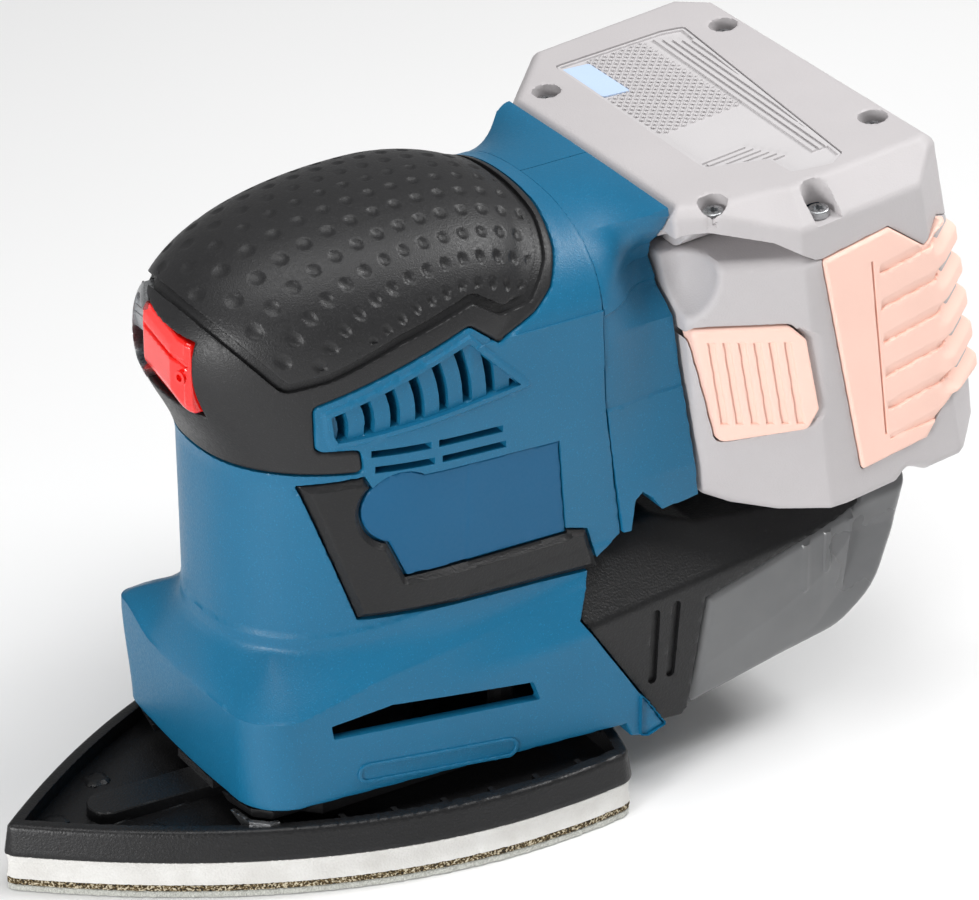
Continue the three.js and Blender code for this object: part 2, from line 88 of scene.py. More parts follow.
def both(a, b, r):
    """Both shapes at once, with an outer edge rounded to radius r."""
    return np.minimum(-r, np.maximum(a, b)) + np.hypot(np.maximum(r + a, 0), np.maximum(r + b, 0))


def either(a, b, r):
    """Either shape, with a fillet of radius r where they meet."""
    return np.maximum(r, np.minimum(a, b)) - np.hypot(np.maximum(r - a, 0), np.maximum(r - b, 0))


def bevelled(a, b, c):
    """Both shapes at once, with the edge cut off at 45 degrees."""
    return np.maximum(np.maximum(a, b), (a + b + c) * math.sqrt(0.5))


def outside(a, b, r=0.0):
    """The first shape without the second."""
    return both(a, -b, r) if r else np.maximum(a, -b)


def polygon(points, u, v):
    """Distance from (u, v) to a closed outline."""
    nearest = None
    crossings = False
    for (ax, ay), (bx, by) in zip(points, points[1:] + points[:1]):
        ex, ey = bx - ax, by - ay
        wx, wy = u - ax, v - ay
        t = np.clip((wx * ex + wy * ey) / (ex * ex + ey * ey), 0, 1)
        d = (wx - t * ex) ** 2 + (wy - t * ey) ** 2
        nearest = d if nearest is None else np.minimum(nearest, d)
        if ay != by:
            crossings = crossings ^ (((v < ay) != (v < by)) & (u < ax + wy * (ex / ey)))
    return np.sqrt(nearest) * np.where(crossings, -1, 1)


def rounded(points, radius, steps=4):
    """The outline with each corner turned into an arc of up to that radius, or its own in a list."""
    radii = radius if isinstance(radius, list) else [radius] * len(points)
    result = []
    for i, (corner, radius) in enumerate(zip(points, radii)):
        here = Vector(corner)
        before = Vector(points[i - 1]) - here
        after = Vector(points[(i + 1) % len(points)]) - here
        angle = before.angle(after)
        if angle > math.radians(170):
            result.append(corner)
            continue
        reach = min(radius / math.tan(angle / 2), before.length * 0.45, after.length * 0.45)
        start, end = here + before.normalized() * reach, here + after.normalized() * reach
        for k in range(steps + 1):
            t = k / steps
            p = start * (1 - t) ** 2 + here * (2 * t * (1 - t)) + end * t * t
            result.append((p.x, p.y))
    return result


def stroke(points, u, v):
    """Distance from (u, v) to an open line through the points."""
    nearest = None
    for (ax, ay), (bx, by) in zip(points, points[1:]):
        ex, ey = bx - ax, by - ay
        wx, wy = u - ax, v - ay
        t = np.clip((wx * ex + wy * ey) / (ex * ex + ey * ey), 0, 1)
        d = (wx - t * ex) ** 2 + (wy - t * ey) ** 2
        nearest = d if nearest is None else np.minimum(nearest, d)
    return np.sqrt(nearest)


def block(x, y, z, low, high):
    """An upright box."""
    distance = None
    for value, a, b in zip((x, y, z), low, high):
        d = abs(value - (a + b) / 2) - (b - a) / 2
        distance = d if distance is None else np.maximum(distance, d)
    return distance


# ---------- from a field to a mesh ----------
def surface_points(field, low, step, grid):
    """Where the surface crosses the grid's edges: (axis, cell index, point, normal, sign) of each."""
    inside = grid < 0
    indices, points, signs, axes = [], [], [], []
    for axis in range(3):
        first = [slice(None)] * 3
        second = [slice(None)] * 3
        first[axis] = slice(0, -1)
        second[axis] = slice(1, None)
        changes = np.argwhere(inside[tuple(first)] != inside[tuple(second)])
        start = low + changes * step
        ahead = np.zeros(3)
        ahead[axis] = step
        fa = grid[tuple(first)][tuple(changes.T)]
        fb = grid[tuple(second)][tuple(changes.T)]
        signs.append(fa < 0)
        ta, tb = np.zeros(len(fa)), np.ones(len(fa))
        for _ in range(3):
            t = ta + (tb - ta) * np.clip(fa / (fa - fb), 0.05, 0.95)
            p = start + t[:, None] * ahead
            f = field(p[:, 0], p[:, 1], p[:, 2])
            same = (f < 0) == (fa < 0)
            ta, fa = np.where(same, t, ta), np.where(same, f, fa)
            tb, fb = np.where(same, tb, t), np.where(same, fb, f)
        t = ta + (tb - ta) * np.clip(fa / (fa - fb), 0, 1)
        points.append(start + t[:, None] * ahead)
        indices.append(changes)
        axes.append(np.full(len(changes), axis))
    points = np.concatenate(points)
    corners = np.array([(1, -1, -1), (-1, -1, 1), (-1, 1, -1), (1, 1, 1)], float)
    reach = step * 0.02
    normal = sum(c * field(*(points + c * reach).T)[:, None] for c in corners)
    normal /= np.linalg.norm(normal, axis=1)[:, None] + 1e-12
    return np.concatenate(axes), np.concatenate(indices), points, normal, np.concatenate(signs)


HOLD = 0.06  # how strongly a vertex is held to the middle of its crossings


def contour(field, low, high, step):
    """The field's surface as vertices and quads, with its sharp edges kept (dual contouring)."""
    step *= COARSE
    low = np.array(low, float)
    counts = np.ceil((np.array(high, float) - low) / step).astype(int) + 1
    x, y, z = [low[i] + step * np.arange(counts[i]) for i in range(3)]
    grid = field(x[:, None, None], y[None, :, None], z[None, None, :])
    grid = np.array(np.broadcast_to(grid, counts))
    axes, indices, points, normals, signs = surface_points(field, low, step, grid)
    # The four cells round each crossed edge, in turning order.
    turns = {0: [(0, -1, -1), (0, 0, -1), (0, 0, 0), (0, -1, 0)],
             1: [(-1, 0, -1), (-1, 0, 0), (0, 0, 0), (0, 0, -1)],
             2: [(-1, -1, 0), (0, -1, 0), (0, 0, 0), (-1, 0, 0)]}
    offsets = np.array([turns[a] for a in range(3)])[axes]
    cells = indices[:, None, :] + offsets
    keys = (cells[..., 0] * counts[1] + cells[..., 1]) * counts[2] + cells[..., 2]
    unique, where = np.unique(keys.ravel(), return_inverse=True)
    where = where.ravel()
    total = len(unique)

    def gather(values):
        return np.bincount(where, np.repeat(values, 4), total)

    number = gather(np.ones(len(points)))
    middle = np.stack([gather(points[:, i]) for i in range(3)], 1) / number[:, None]
    against = (normals * points).sum(1)
    matrix = np.zeros((total, 3, 3))
    right = np.stack([gather(normals[:, i] * against) for i in range(3)], 1)
    for i in range(3):
        for j in range(i, 3):
            matrix[:, i, j] = matrix[:, j, i] = gather(normals[:, i] * normals[:, j])
    right -= (matrix @ middle[..., None])[..., 0]
    matrix += np.eye(3) * HOLD
    vertices = middle + np.linalg.solve(matrix, right[..., None])[..., 0]
    cell = np.stack([unique // (counts[1] * counts[2]), unique // counts[2] % counts[1],
                     unique % counts[2]], 1)
    vertices = np.clip(vertices, low + cell * step, low + (cell + 1) * step)
    quads = where.reshape(-1, 4)
    quads = np.where(signs[:, None], quads, quads[:, ::-1])
    return vertices, quads


def make_piece(name, parts, body, material, replaces=(), sharp=32, place=None):
    """One mesh object from one or more contoured parts, riding on a body."""
    vertices = np.concatenate([v for v, _ in parts])
    starts = np.cumsum([0] + [len(v) for v, _ in parts[:-1]])
    quads = np.concatenate([q + s for (_, q), s in zip(parts, starts)])
    if place:
        vertices = place(vertices)
        quads = quads[:, ::-1]
    mesh = bpy.data.meshes.new(name)
    mesh.vertices.add(len(vertices))
    mesh.vertices.foreach_set("co", (vertices * MM).astype(np.float32).ravel())
    mesh.loops.add(quads.size)
    mesh.loops.foreach_set("vertex_index", quads.astype(np.int32).ravel())
    mesh.polygons.add(len(quads))
    mesh.polygons.foreach_set("loop_start", np.arange(0, quads.size, 4, dtype=np.int32))
    mesh.update(calc_edges=True)
    mesh.validate()
    mesh.shade_smooth()
    mesh.set_sharp_from_angle(angle=math.radians(sharp))
    mesh.materials.append(material)
    piece = bpy.data.objects.new(name, mesh)
    bpy.context.scene.collection.objects.link(piece)
    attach(piece, body)
    if replaces:
        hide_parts(*replaces)
    return piece


# ---------- materials ----------
class Nodes:
    """A small helper that adds shader nodes and joins them."""

    def __init__(self, name):
        self.material = bpy.data.materials.new(name)
        self.material.use_nodes = True
        self.tree = self.material.node_tree
        self.shader = self.tree.nodes["Principled BSDF"]
        self.place = self.add("ShaderNodeTexCoord").outputs["Object"]

    def add(self, kind, **settings):
        node = self.tree.nodes.new(kind)
        for key, value in settings.items():
            setattr(node, key, value)
        return node

    def link(self, source, target):
        self.tree.links.new(source, target)

    def noise(self, scale, detail=4.0, stretch=None):
        node = self.add("ShaderNodeTexNoise")
        node.inputs["Scale"].default_value = scale
        node.inputs["Detail"].default_value = detail
        place = self.place
        if stretch:
            mapping = self.add("ShaderNodeMapping")
            mapping.inputs["Scale"].default_value = stretch
            self.link(place, mapping.inputs["Vector"])
            place = mapping.outputs["Vector"]
        self.link(place, node.inputs["Vector"])
        return node.outputs["Fac"]

    def ramp(self, source, stops):
        node = self.add("ShaderNodeValToRGB")
        elements = node.color_ramp.elements
        while len(elements) < len(stops):
            elements.new(0.5)
        for element, (position, colour) in zip(elements, stops):
            element.position = position
            element.color = (*colour, 1.0)
        self.link(source, node.inputs["Fac"])
        return node.outputs["Color"]

    def level(self, source, low, high, start=0.3, end=0.7):
        node = self.add("ShaderNodeMapRange")
        for key, value in (("From Min", start), ("From Max", end), ("To Min", low), ("To Max", high)):
            node.inputs[key].default_value = value
        self.link(source, node.inputs["Value"])
        return node.outputs["Result"]

    def bump(self, source, strength, distance):
        node = self.add("ShaderNodeBump")
        node.inputs["Strength"].default_value = strength
        node.inputs["Distance"].default_value = distance
        self.link(source, node.inputs["Height"])
        return node.outputs["Normal"]

    def set(self, **values):
        for key, value in values.items():
            socket = self.shader.inputs[key.replace("_", " ")]
            if isinstance(value, bpy.types.NodeSocket):
                self.link(value, socket)
            else:
                socket.default_value = value
        return self.material


def colour(red, green, blue):
    """A display colour of 0 to 255 as linear light."""
    return tuple(((c / 255 + 0.055) / 1.055) ** 2.4 if c > 10 else c / 3294 for c in (red, green, blue))


def scaled(shade, factor):
    return tuple(min(c * factor, 1.0) for c in shade)


SHINE = 0.36  # of moulded plastic
SPECK_BRIGHTER = 4.0  # than the plastic round it


def moulded(name, shade, roughness, grain=2600, depth=0.25, spread=0.12, flecks=0.0):
    """Moulded plastic: an eroded grain, slow changes of tone and, where asked, pale flecks."""
    n = Nodes(name)
    fine = n.noise(grain, 2.0)
    slow = n.noise(45, 3.0)
    tone = n.ramp(slow, [(0.3, scaled(shade, 1 - spread)), (0.7, scaled(shade, 1 + spread))])
    if flecks:
        mix = n.add("ShaderNodeMix", data_type="RGBA", blend_type="MIX")
        spots = n.level(fine, 0.0, flecks, 0.6, 0.75)
        factor, _, _, _, _, _, plain, speck = mix.inputs[:8]
        n.link(spots, factor)
        n.link(tone, plain)
        speck.default_value = (*scaled(shade, SPECK_BRIGHTER), 1)
        tone = mix.outputs[2]
    rough = n.level(n.noise(grain * 0.5, 2.0), roughness - 0.06, roughness + 0.08)
    normal = n.bump(fine, depth, 0.0002)
    return n.set(Base_Color=tone, Roughness=rough, Normal=normal, Specular_IOR_Level=SHINE)


def metal(name, shade, roughness=0.3):
    """Metal with fine machining marks."""
    n = Nodes(name)
    marks = n.noise(900, 3.0, stretch=(1, 1, 30))
    tone = n.ramp(marks, [(0.35, scaled(shade, 0.8)), (0.65, scaled(shade, 1.1))])
    rough = n.level(marks, roughness - 0.08, roughness + 0.12)
    return n.set(Base_Color=tone, Metallic=1.0, Roughness=rough, Normal=n.bump(marks, 0.12, 0.0001))


def foam_material():
    n = Nodes("white_foam")
    cells = n.add("ShaderNodeTexVoronoi", feature="F1")
    cells.inputs["Scale"].default_value = 1500
    n.link(n.place, cells.inputs["Vector"])
    tone = n.ramp(n.noise(120, 4.0), [(0.3, colour(203, 201, 197)), (0.7, colour(217, 216, 213))])
    normal = n.bump(cells.outputs["Distance"], 0.25, 0.0003)
    return n.set(Base_Color=tone, Roughness=0.85, Normal=normal, Subsurface_Weight=0.1,
                 Subsurface_Radius=(0.003, 0.003, 0.003))


def hooks_material():
    n = Nodes("hook_pile")
    speck = n.noise(1700, 3.0)
    tone = n.ramp(speck, [(0.38, colour(24, 20, 12)), (0.5, colour(92, 72, 30)),
                          (0.62, colour(205, 195, 170))])
    return n.set(Base_Color=tone, Roughness=0.9, Normal=n.bump(speck, 0.9, 0.0008))


def fleece_material():
    n = Nodes("abrasive_fleece")
    fibre = n.noise(1500, 6.0, (1, 3, 1))
    tone = n.ramp(fibre, [(0.3, colour(160, 161, 154)), (0.7, colour(206, 207, 200))])
    return n.set(Base_Color=tone, Roughness=0.95, Sheen_Weight=0.4, Normal=n.bump(fibre, 0.8, 0.0006))


def smoky():
    """The dust container's tinted plastic, misted inside."""
    n = Nodes("smoky_clear")
    mist = n.noise(30, 4.0)
    tone = n.ramp(mist, [(0.3, colour(98, 99, 101)), (0.7, colour(122, 123, 124))])
    rough = n.level(mist, 0.24, 0.36)
    return n.set(Base_Color=tone, Roughness=rough, Transmission_Weight=0.25, IOR=1.45,
                 Normal=n.bump(mist, 0.08, 0.0001), Coat_Weight=0.3)


def glossy_red():
    n = Nodes("switch_red_gloss")
    slow = n.noise(60, 3.0)
    tone = n.ramp(slow, [(0.3, colour(212, 12, 8)), (0.7, colour(236, 22, 14))])
    return n.set(Base_Color=tone, Roughness=n.level(n.noise(900), 0.12, 0.22), Coat_Weight=0.6,
                 Coat_Roughness=0.08, Normal=n.bump(slow, 0.04, 0.0003))


def paper():
    n = Nodes("filter_paper_pleats")
    pleats = n.add("ShaderNodeTexWave", wave_type="BANDS", bands_direction="Y")
    pleats.inputs["Scale"].default_value = 260
    pleats.inputs["Distortion"].default_value = 0.4
    n.link(n.place, pleats.inputs["Vector"])
    tone = n.ramp(n.noise(300), [(0.3, colour(214, 206, 186)), (0.7, colour(238, 233, 218))])
    return n.set(Base_Color=tone, Roughness=0.9, Normal=n.bump(pleats.outputs["Fac"], 0.8, 0.001))


def board():
    n = Nodes("circuit_laminate")
    tracks = n.add("ShaderNodeTexBrick")
    tracks.inputs["Scale"].default_value = 160
    tracks.inputs["Color1"].default_value = (*colour(22, 92, 58), 1)
    tracks.inputs["Color2"].default_value = (*colour(28, 106, 66), 1)
    tracks.inputs["Mortar"].default_value = (*colour(58, 140, 84), 1)
    n.link(n.place, tracks.inputs["Vector"])
    grain = n.bump(n.noise(1200), 0.2, 0.0002)
    return n.set(Base_Color=tracks.outputs["Color"], Roughness=0.4, Normal=grain)


BLUE = moulded("blue_nylon", colour(17, 97, 133), 0.38, depth=0.35, spread=0.04, flecks=0.16)
BLUE_FLAT = moulded("blue_nameplate", colour(1, 84, 124), 0.5, depth=0.12, spread=0.03)
SOFT = moulded("soft_grip_black", colour(33, 33, 34), 0.42, grain=2400, depth=0.45, flecks=0.3)
BLACK = moulded("hard_black_nylon", colour(22, 22, 23), 0.38, grain=1700, depth=0.5, flecks=0.3)
RED = glossy_red()
PALE = moulded("pack_pale_grey", colour(186, 182, 183), 0.5, grain=2200, depth=0.3, spread=0.02)
SALMON = moulded("pack_salmon", colour(247, 206, 191), 0.6, grain=2400, depth=0.2, spread=0.02)
PALE_FINE = moulded("pack_inlay_grey", colour(196, 193, 194), 0.4, grain=3000, depth=0.15, spread=0.02)
LABEL = moulded("pack_label_blue", colour(188, 208, 236), 0.45, spread=0.02)
STEEL = metal("bright_steel", colour(186, 188, 190))
COPPER = metal("contact_copper", colour(196, 124, 78))
SLEEVE = moulded("cell_sleeve", colour(44, 84, 128), 0.35, spread=0.05)
FOAM = foam_material()
HOOKS = hooks_material()
FLEECE = fleece_material()
SMOKE = smoky()
PAPER = paper()
BOARD = board()


# ---------- the tool's body ----------
CORE = 0.1  # nearer the axis than this share of the radius, the radius is taken as CORE_RADIUS
CORE_RADIUS = 30.0


def superellipse(terms, powers, radius):
    """(level - 1) times the surface's own radius, which is close to a distance."""
    level = sum(abs(t) ** p for t, p in zip(terms, powers)) ** (1 / powers[0])
    local = np.where(level > CORE, radius / np.maximum(level, CORE), CORE_RADIUS)
    return (level - 1) * local


def half_width(z):
    return HALF[0] + (HALF[1] - HALF[0]) * smooth((z - WIDENS_FROM) / WIDENS_OVER)


def column(x, y, z):
    """The upright body under its dome; behind CENTRE_X the foot's sides run straight."""
    change = smooth((z - LEANS_FROM) / (DOME_Z - LEANS_FROM))
    reach = REACH[0] + (REACH[1] - REACH[0]) * change
    power = PLAN_POWER[0] + (PLAN_POWER[1] - PLAN_POWER[0]) * change
    ahead = np.maximum(x - CENTRE_X, 0)
    behind = np.where(z > DOME_Z, np.maximum(CENTRE_X - x, 0), 0)
    rise = np.maximum(z - DOME_Z, 0)
    along = ahead / reach + behind / DOME_REAR
    radius = np.sqrt(ahead ** 2 + behind ** 2 + y ** 2 + rise ** 2)
    return superellipse((along, y / half_width(z), rise / DOME_HIGH), (power, power, DOME_POWER), radius)


def arch(y, z, half=HALF[1]):
    """The round-topped section where the body meets the battery holder."""
    rise = np.maximum(z - ARCH_Z, 0)
    side = np.minimum(half_width(z), half)
    return superellipse((y / side, rise / ARCH_HIGH), (ARCH_POWER, ARCH_POWER), np.hypot(y, rise))


def body(x, y, z):
    soft = 5 * smooth((CENTRE_X - x - 8) / 22) * smooth((z - 134) / 8) + 0.01
    return either(column(x, y, z), np.maximum(arch(y, z), x - CENTRE_X), soft)


SKIRT_X = 42.0
SKIRT_HALF = 39.1  # at X = 0
SKIRT_FLARE = 0.092  # how the sides spread towards the back
SKIRT_LOW = 22.0
SKIRT_CORNER = 11.0  # radius of the left front corner
RIGHT_WIDER = 1.2
CREASE_X, CREASE_Z = 5.0, 44.4  # the side's crease; it rises from here both ways
RIDGE_X, RIDGE_Z = 6.0, 53.2  # the ridge above it, which falls forwards to the crest
CREST_Z = 47.0
FAR_CORNER_UP = 4.0  # how much higher the foot's top is at its right front corner
FOOT_Z = 60.0  # where the sloping top of the foot meets the column at the front
FOOT_RISE = 0.11  # how that line rises towards the back


def skirt(x, y, z):
    """The foot's wall: a crease and a ridge rise towards the back, and its top slopes to the column."""
    far = np.where(y < 0, 1.0, 0.0)
    out = abs(y) + SKIRT_FLARE * x - SKIRT_HALF - RIGHT_WIDER * far
    crease = CREASE_Z + np.where(x < CREASE_X, 0.115 * (CREASE_X - x), 0.08 * (x - CREASE_X))
    ridge = RIDGE_Z + np.where(x < RIDGE_X, 0.145 * (RIDGE_X - x), -0.27 * (x - RIDGE_X))
    ridge = np.maximum(ridge, CREST_Z)
    ridge = ridge + FAR_CORNER_UP * smooth((x - 24) / 9) * smooth((-y - 16) / 16)
    lean = 0.1 + 0.42 * smooth((CREASE_X - x) / 50)
    side = both(out, out + lean * (z - crease), 0.8)
    front = x + 0.0013 * y ** 2 - SKIRT_X - 0.03 * (z - SKIRT_LOW)
    corner = SKIRT_CORNER - far * (3 + 4.5 * smooth((z - SKIRT_LOW) / 26))
    plan = both(side, front, corner)
    meet = FOOT_Z + FOOT_RISE * np.clip(20 - x, 0, 60)
    rise = (z - ridge) / (meet - ridge)
    rise = np.where(rise < 1, np.clip(rise + np.exp(-abs(rise) * 6) * 0.05, 0, 1), 1)
    return np.maximum(plan + (column(x, y, FOOT_Z) - plan) * rise, z - meet - 3)


def tool_outside(x, y, z):
    return either(body(x, y, z), skirt(x, y, z), 1.5)


BODY_SIDE = [(70, 22), (-59, 22), (-60.6, 18), (-64.5, 17.4), (-69.6, 19.3), (-47, 53.8),
             (-53, 65.8), (-62, 71.8), (-58.1, 96.7), (-55.9, 111), (SEAM_X, 130), (SEAM_X, 200), (70, 200)]
INNER_SIDE = [(70, 10), (-62, 10), (-43.5, 51), (-49.5, 66), (-54, 80), (-51, 130), (-51, 200),
              (70, 200)]
GRIP_SIDE = rounded([(70, 110.6), (36, 108.7), (9.6, 108.3), (10.6, 115.0), (20.6, 115.4),
                     (21.4, 127.4), (-17.6, 141.4), (-25.6, 135.0), (-36.6, 139.6), (-42.2, 144),
                     (-46.6, 150.5), (-49.4, 157), (-49.8, 180), (70, 180)], 2.0)
PANEL_SIDE = rounded([(62, 172), (43, 150.5), (27.6, 133.2), (17.8, 135.3), (0.7, 142.3), (-19.4, 148),
                      (-27.4, 142.8), (-35.2, 143.6), (-42, 150.5), (-45.6, 157), (-46, 180),
                      (62, 180)], 2.5)
SHIELD_SIDE = rounded([(19.9, 126.3), (-17.4, 139.9), (-35.6, 121.3), (17.2, 115.7), (18.9, 119)], 1.2)
TRIM_OUTER = [(23.9, 105.4), (10.8, 67.9), (-55.2, 64.6), (-51.9, 75.8), (-46.5, 77.5), (-4, 80),
              (9.8, 107)]
PLATE_SIDE = [(6, 105.4), (-43, 103.6), (-45.9, 76.9), (-1.3, 77.6), (3.4, 88)]
LOBE = (0.5, 97.2, 9.7)
DUST_SLOT = rounded([(21.4, 43), (20.8, 39.2), (-35, 35.7), (-33, 41.2), (5.1, 44.8)], 0.6)
CAPSULE = [(12, 27.4), (-26, 24.3)]
SWITCH_Z = (125.2, 145.6)  # at SWITCH_MIDDLE
SWITCH_Y = (-14.0, 14.2)
SWITCH_MIDDLE = 4.0
SWITCH_FALL = 0.2  # how the opening and the rocker fall towards the left
PLATE_DEEP = 2.0  # how far the nameplate and the trim are let in


def plate_outline(x, z):
    return np.minimum(polygon(PLATE_SIDE, x, z), np.hypot(x - LOBE[0], z - LOBE[1]) - LOBE[2])


def trim_outline(x, z):
    return outside(polygon(TRIM_OUTER, x, z), plate_outline(x, z) - 0.5)


def switch_height(y, z):
    return z + SWITCH_FALL * (y - SWITCH_MIDDLE)


def switch_hole(x, y, z, ledge=0.0):
    """The opening in the nose: straight on the left and half an ellipse on the right."""
    low, high = SWITCH_Z
    middle = (low + high) / 2
    z = switch_height(y, z)
    far = 4 + SWITCH_Y[0] + ledge
    bulge = np.hypot(np.minimum(y - far, 0) / 6.5, (z - middle) / (high - low) * 2) - 1
    ends = np.maximum(bulge * 6, y - SWITCH_Y[1])
    return np.maximum(np.maximum(ends, np.maximum(low - z, z - high)), 33 - x)


SLOT_COUNT = 8
SLOT_BOW = 4.4  # how far a slot bows forwards
SLOT_HALF = 1.25
SHIELD_RIM = 2.3


def cooling_slots(x, z):
    """Upright slots, bowed forwards, clipped by the shield's own outline."""
    slots = []
    for i in range(SLOT_COUNT):
        foot = (15.2 - 6.45 * i, 116.8 + 0.62 * i)
        head = (15.9 - 5.95 * i, 126.5 + 2.2 * i)
        bow = []
        for t in (0, 0.2, 0.4, 0.6, 0.8, 1):
            along = foot[0] + (head[0] - foot[0]) * t - SLOT_BOW * t * (1 - t)
            bow.append((along, foot[1] + (head[1] - foot[1]) * t))
        slots.append(stroke(bow, x, z) - SLOT_HALF)
    return np.maximum(np.minimum.reduce(slots), polygon(SHIELD_SIDE, x, z) + SHIELD_RIM)


LEVEL_ROWS = ((113.4, 8.2), (108.9, 7.2))  # each row's height and front end
LEVEL_LENGTHS = ((15.2, 0), (17.8, 17.2))  # each slot's length and how far back it starts
LEVEL_SLOPE = 0.045
LEVEL_HALF = 0.95


def level_slots(x, z):
    slots = []
    for height, start in LEVEL_ROWS:
        for length, along in LEVEL_LENGTHS:
            first, last = start - along, start - along - length
            centre = (first + last) / 2
            middle = height - (start - centre) * LEVEL_SLOPE
            across = z - middle - (x - centre) * LEVEL_SLOPE
            slots.append(np.maximum(abs(x - centre) - length / 2, abs(across) - LEVEL_HALF))
    return np.minimum.reduce(slots)


def motor_housing(x, y, z):
    raw = tool_outside(x, y, z)
    shell = both(raw, polygon(BODY_SIDE, x, z), 0.6)
    grip = np.maximum(polygon(GRIP_SIDE, x, z), -(raw + GRIP_SKIN + GAP))
    shell = outside(shell, grip, 0.5)
    shield = polygon(SHIELD_SIDE, x, z)
    upright = 18 - abs(y)
    shell = np.minimum(shell, np.maximum(bevelled(raw - 0.6, shield, 0.7), upright))
    shell = outside(shell, np.maximum(shield + 1.9, -(raw + 0.9)))
    trim = trim_outline(x, z)
    shell = outside(shell, np.maximum(np.maximum(trim - 0.5, -(raw + PLATE_DEEP + 0.2)), upright), 0.3)
    plate = plate_outline(x, z)
    shell = outside(shell, np.maximum(np.maximum(plate - 0.15, -(raw + PLATE_DEEP + 0.2)), upright))
    wall = WALL + PLATE_DEEP * smooth((z - 54) / 6) + (GRIP_SKIN + GAP - 1) * smooth((z - 98) / 10)
    hollow = np.maximum(raw + wall, polygon(INNER_SIDE, x, z))
    shell = outside(shell, hollow)
    through = np.minimum(cooling_slots(x, z), level_slots(x, z))
    through = np.minimum(through, polygon(DUST_SLOT, x, z))
    shell = outside(shell, np.maximum(through, 22 - abs(y)))
    return outside(shell, switch_hole(x, y, z, ledge=3.0))


DIMPLE_PITCH = 5.6
DIMPLE_RADIUS = 1.5
DIMPLE_DEPTH = 0.7
DIMPLE_CENTRE_Z = 112


def switch_rim_highlight(x, y, z):
    """The rim round the right end of the switch opening. Its shape is the black grip's own edge; its pale
    steel finish is a painted highlight where that edge is lit.
    """
    hole = switch_hole(x, y, z)
    raw = tool_outside(x, y, z)
    rim = both(abs(hole + 0.75) - 0.65, raw - 0.3, 0.2)
    return np.maximum(outside(rim, raw + 2.4), np.maximum(y + 4.5, 34 - x))


def nearest_dimple(x, y, z):
    """Distance over the dome to the nearest of the staggered dimples."""
    ahead, rise = x - CENTRE_X, z - DIMPLE_CENTRE_Z
    out = np.hypot(ahead, rise)
    along = np.arctan2(ahead, rise) * 50
    around = np.arctan2(y, out) * 46
    row = np.round(around / DIMPLE_PITCH)
    shift = 0.5 * (row % 2)
    place = np.round(along / DIMPLE_PITCH - shift) + shift
    return np.hypot(along - place * DIMPLE_PITCH, around - row * DIMPLE_PITCH)


def grip_cover(x, y, z):
    raw = tool_outside(x, y, z)
    edge = polygon(GRIP_SIDE, x, z) + GAP
    panel = polygon(PANEL_SIDE, x, z)
    dimples = DIMPLE_DEPTH * np.clip(1 - (nearest_dimple(x, y, z) / DIMPLE_RADIUS) ** 2, 0, 1)
    cover = both(raw + np.where(panel < -2.6, dimples, 0), edge, 1.1)
    cover = outside(cover, raw + GRIP_SKIN)
    groove = np.maximum(abs(panel) - 1.25, -(raw + 1.5))
    cover = outside(cover, groove, 0.3)
    return outside(cover, switch_hole(x, y, z), 0.7)


def side_trim(x, y, z):
    raw = tool_outside(x, y, z)
    band = bevelled(raw - 1.0, trim_outline(x, z) + 0.1, 1.5)
    return outside(band, raw + PLATE_DEEP)


def nameplate(x, y, z):
    raw = tool_outside(x, y, z)
    plate = bevelled(raw + 0.45, plate_outline(x, z) + 0.15, 0.3)
    return outside(plate, raw + PLATE_DEEP)


def capsule_rim(x, y, z):
    """The raised outline of a long capsule low on the foot."""
    raw = tool_outside(x, y, z)
    rim = both(abs(stroke(CAPSULE, x, z) - 2.3) - 0.45, raw - 0.5, 0.2)
    return outside(rim, raw + 0.9)


def on_left(field, from_y=15.0):
    return lambda x, y, z: np.maximum(field(x, y, z), from_y - y)


def mirrored(part):
    """The same part on the tool's other side."""
    vertices, quads = part
    return vertices * (1, -1, 1), quads[:, ::-1]


# ---------- switch ----------
ROCKER_PLAN = rounded([(36, -6.6), (46.4, -6.6), (46.6, 7.2), (45.1, 11.4), (45.5, 12.1), (44.4, 13.7),
                       (36, 13.7)], 0.6)
ROCKER_Z = (126.1, 144.6)
RING_PLACE = (45.7, 11.0, 133.6)


def rocker(x, y, z):
    """A rocker with a rolled top band, a flat far face and a near face that carries a small ring."""
    near = np.where(y > 6, tool_outside(x, y, z) - 1.0, -9)
    middle, half = sum(ROCKER_Z) / 2, (ROCKER_Z[1] - ROCKER_Z[0]) / 2
    level_z = z
    z = switch_height(y, z)
    shape = both(polygon(ROCKER_PLAN, x, y), abs(z - middle) - half, 1.0)
    shape = both(shape, (x - 46.9 + (z - 138.6) * 0.24) / 1.03, 0.4)
    shape = both(shape, (x - 46.5 + (129.2 - z) * 0.55) / 1.14, 0.5)
    shape = both(shape, near, 0.3)
    band = np.maximum(abs(z - 138.6) - 0.5, abs(y - 3.4) - 9.4)
    shape = outside(shape, np.maximum(band, 45.9 - x + np.maximum(y - 7.2, 0) * -0.24), 0.5)
    ring_x, ring_y, ring_z = RING_PLACE
    along = (x - ring_x) * -0.235 + (y - ring_y) * 0.972
    height = (x - ring_x) * 0.972 + (y - ring_y) * 0.235
    ring = np.hypot(along, level_z - ring_z) - 1.35
    return np.minimum(shape, np.maximum(abs(ring) - 0.4, abs(height) - 0.6))


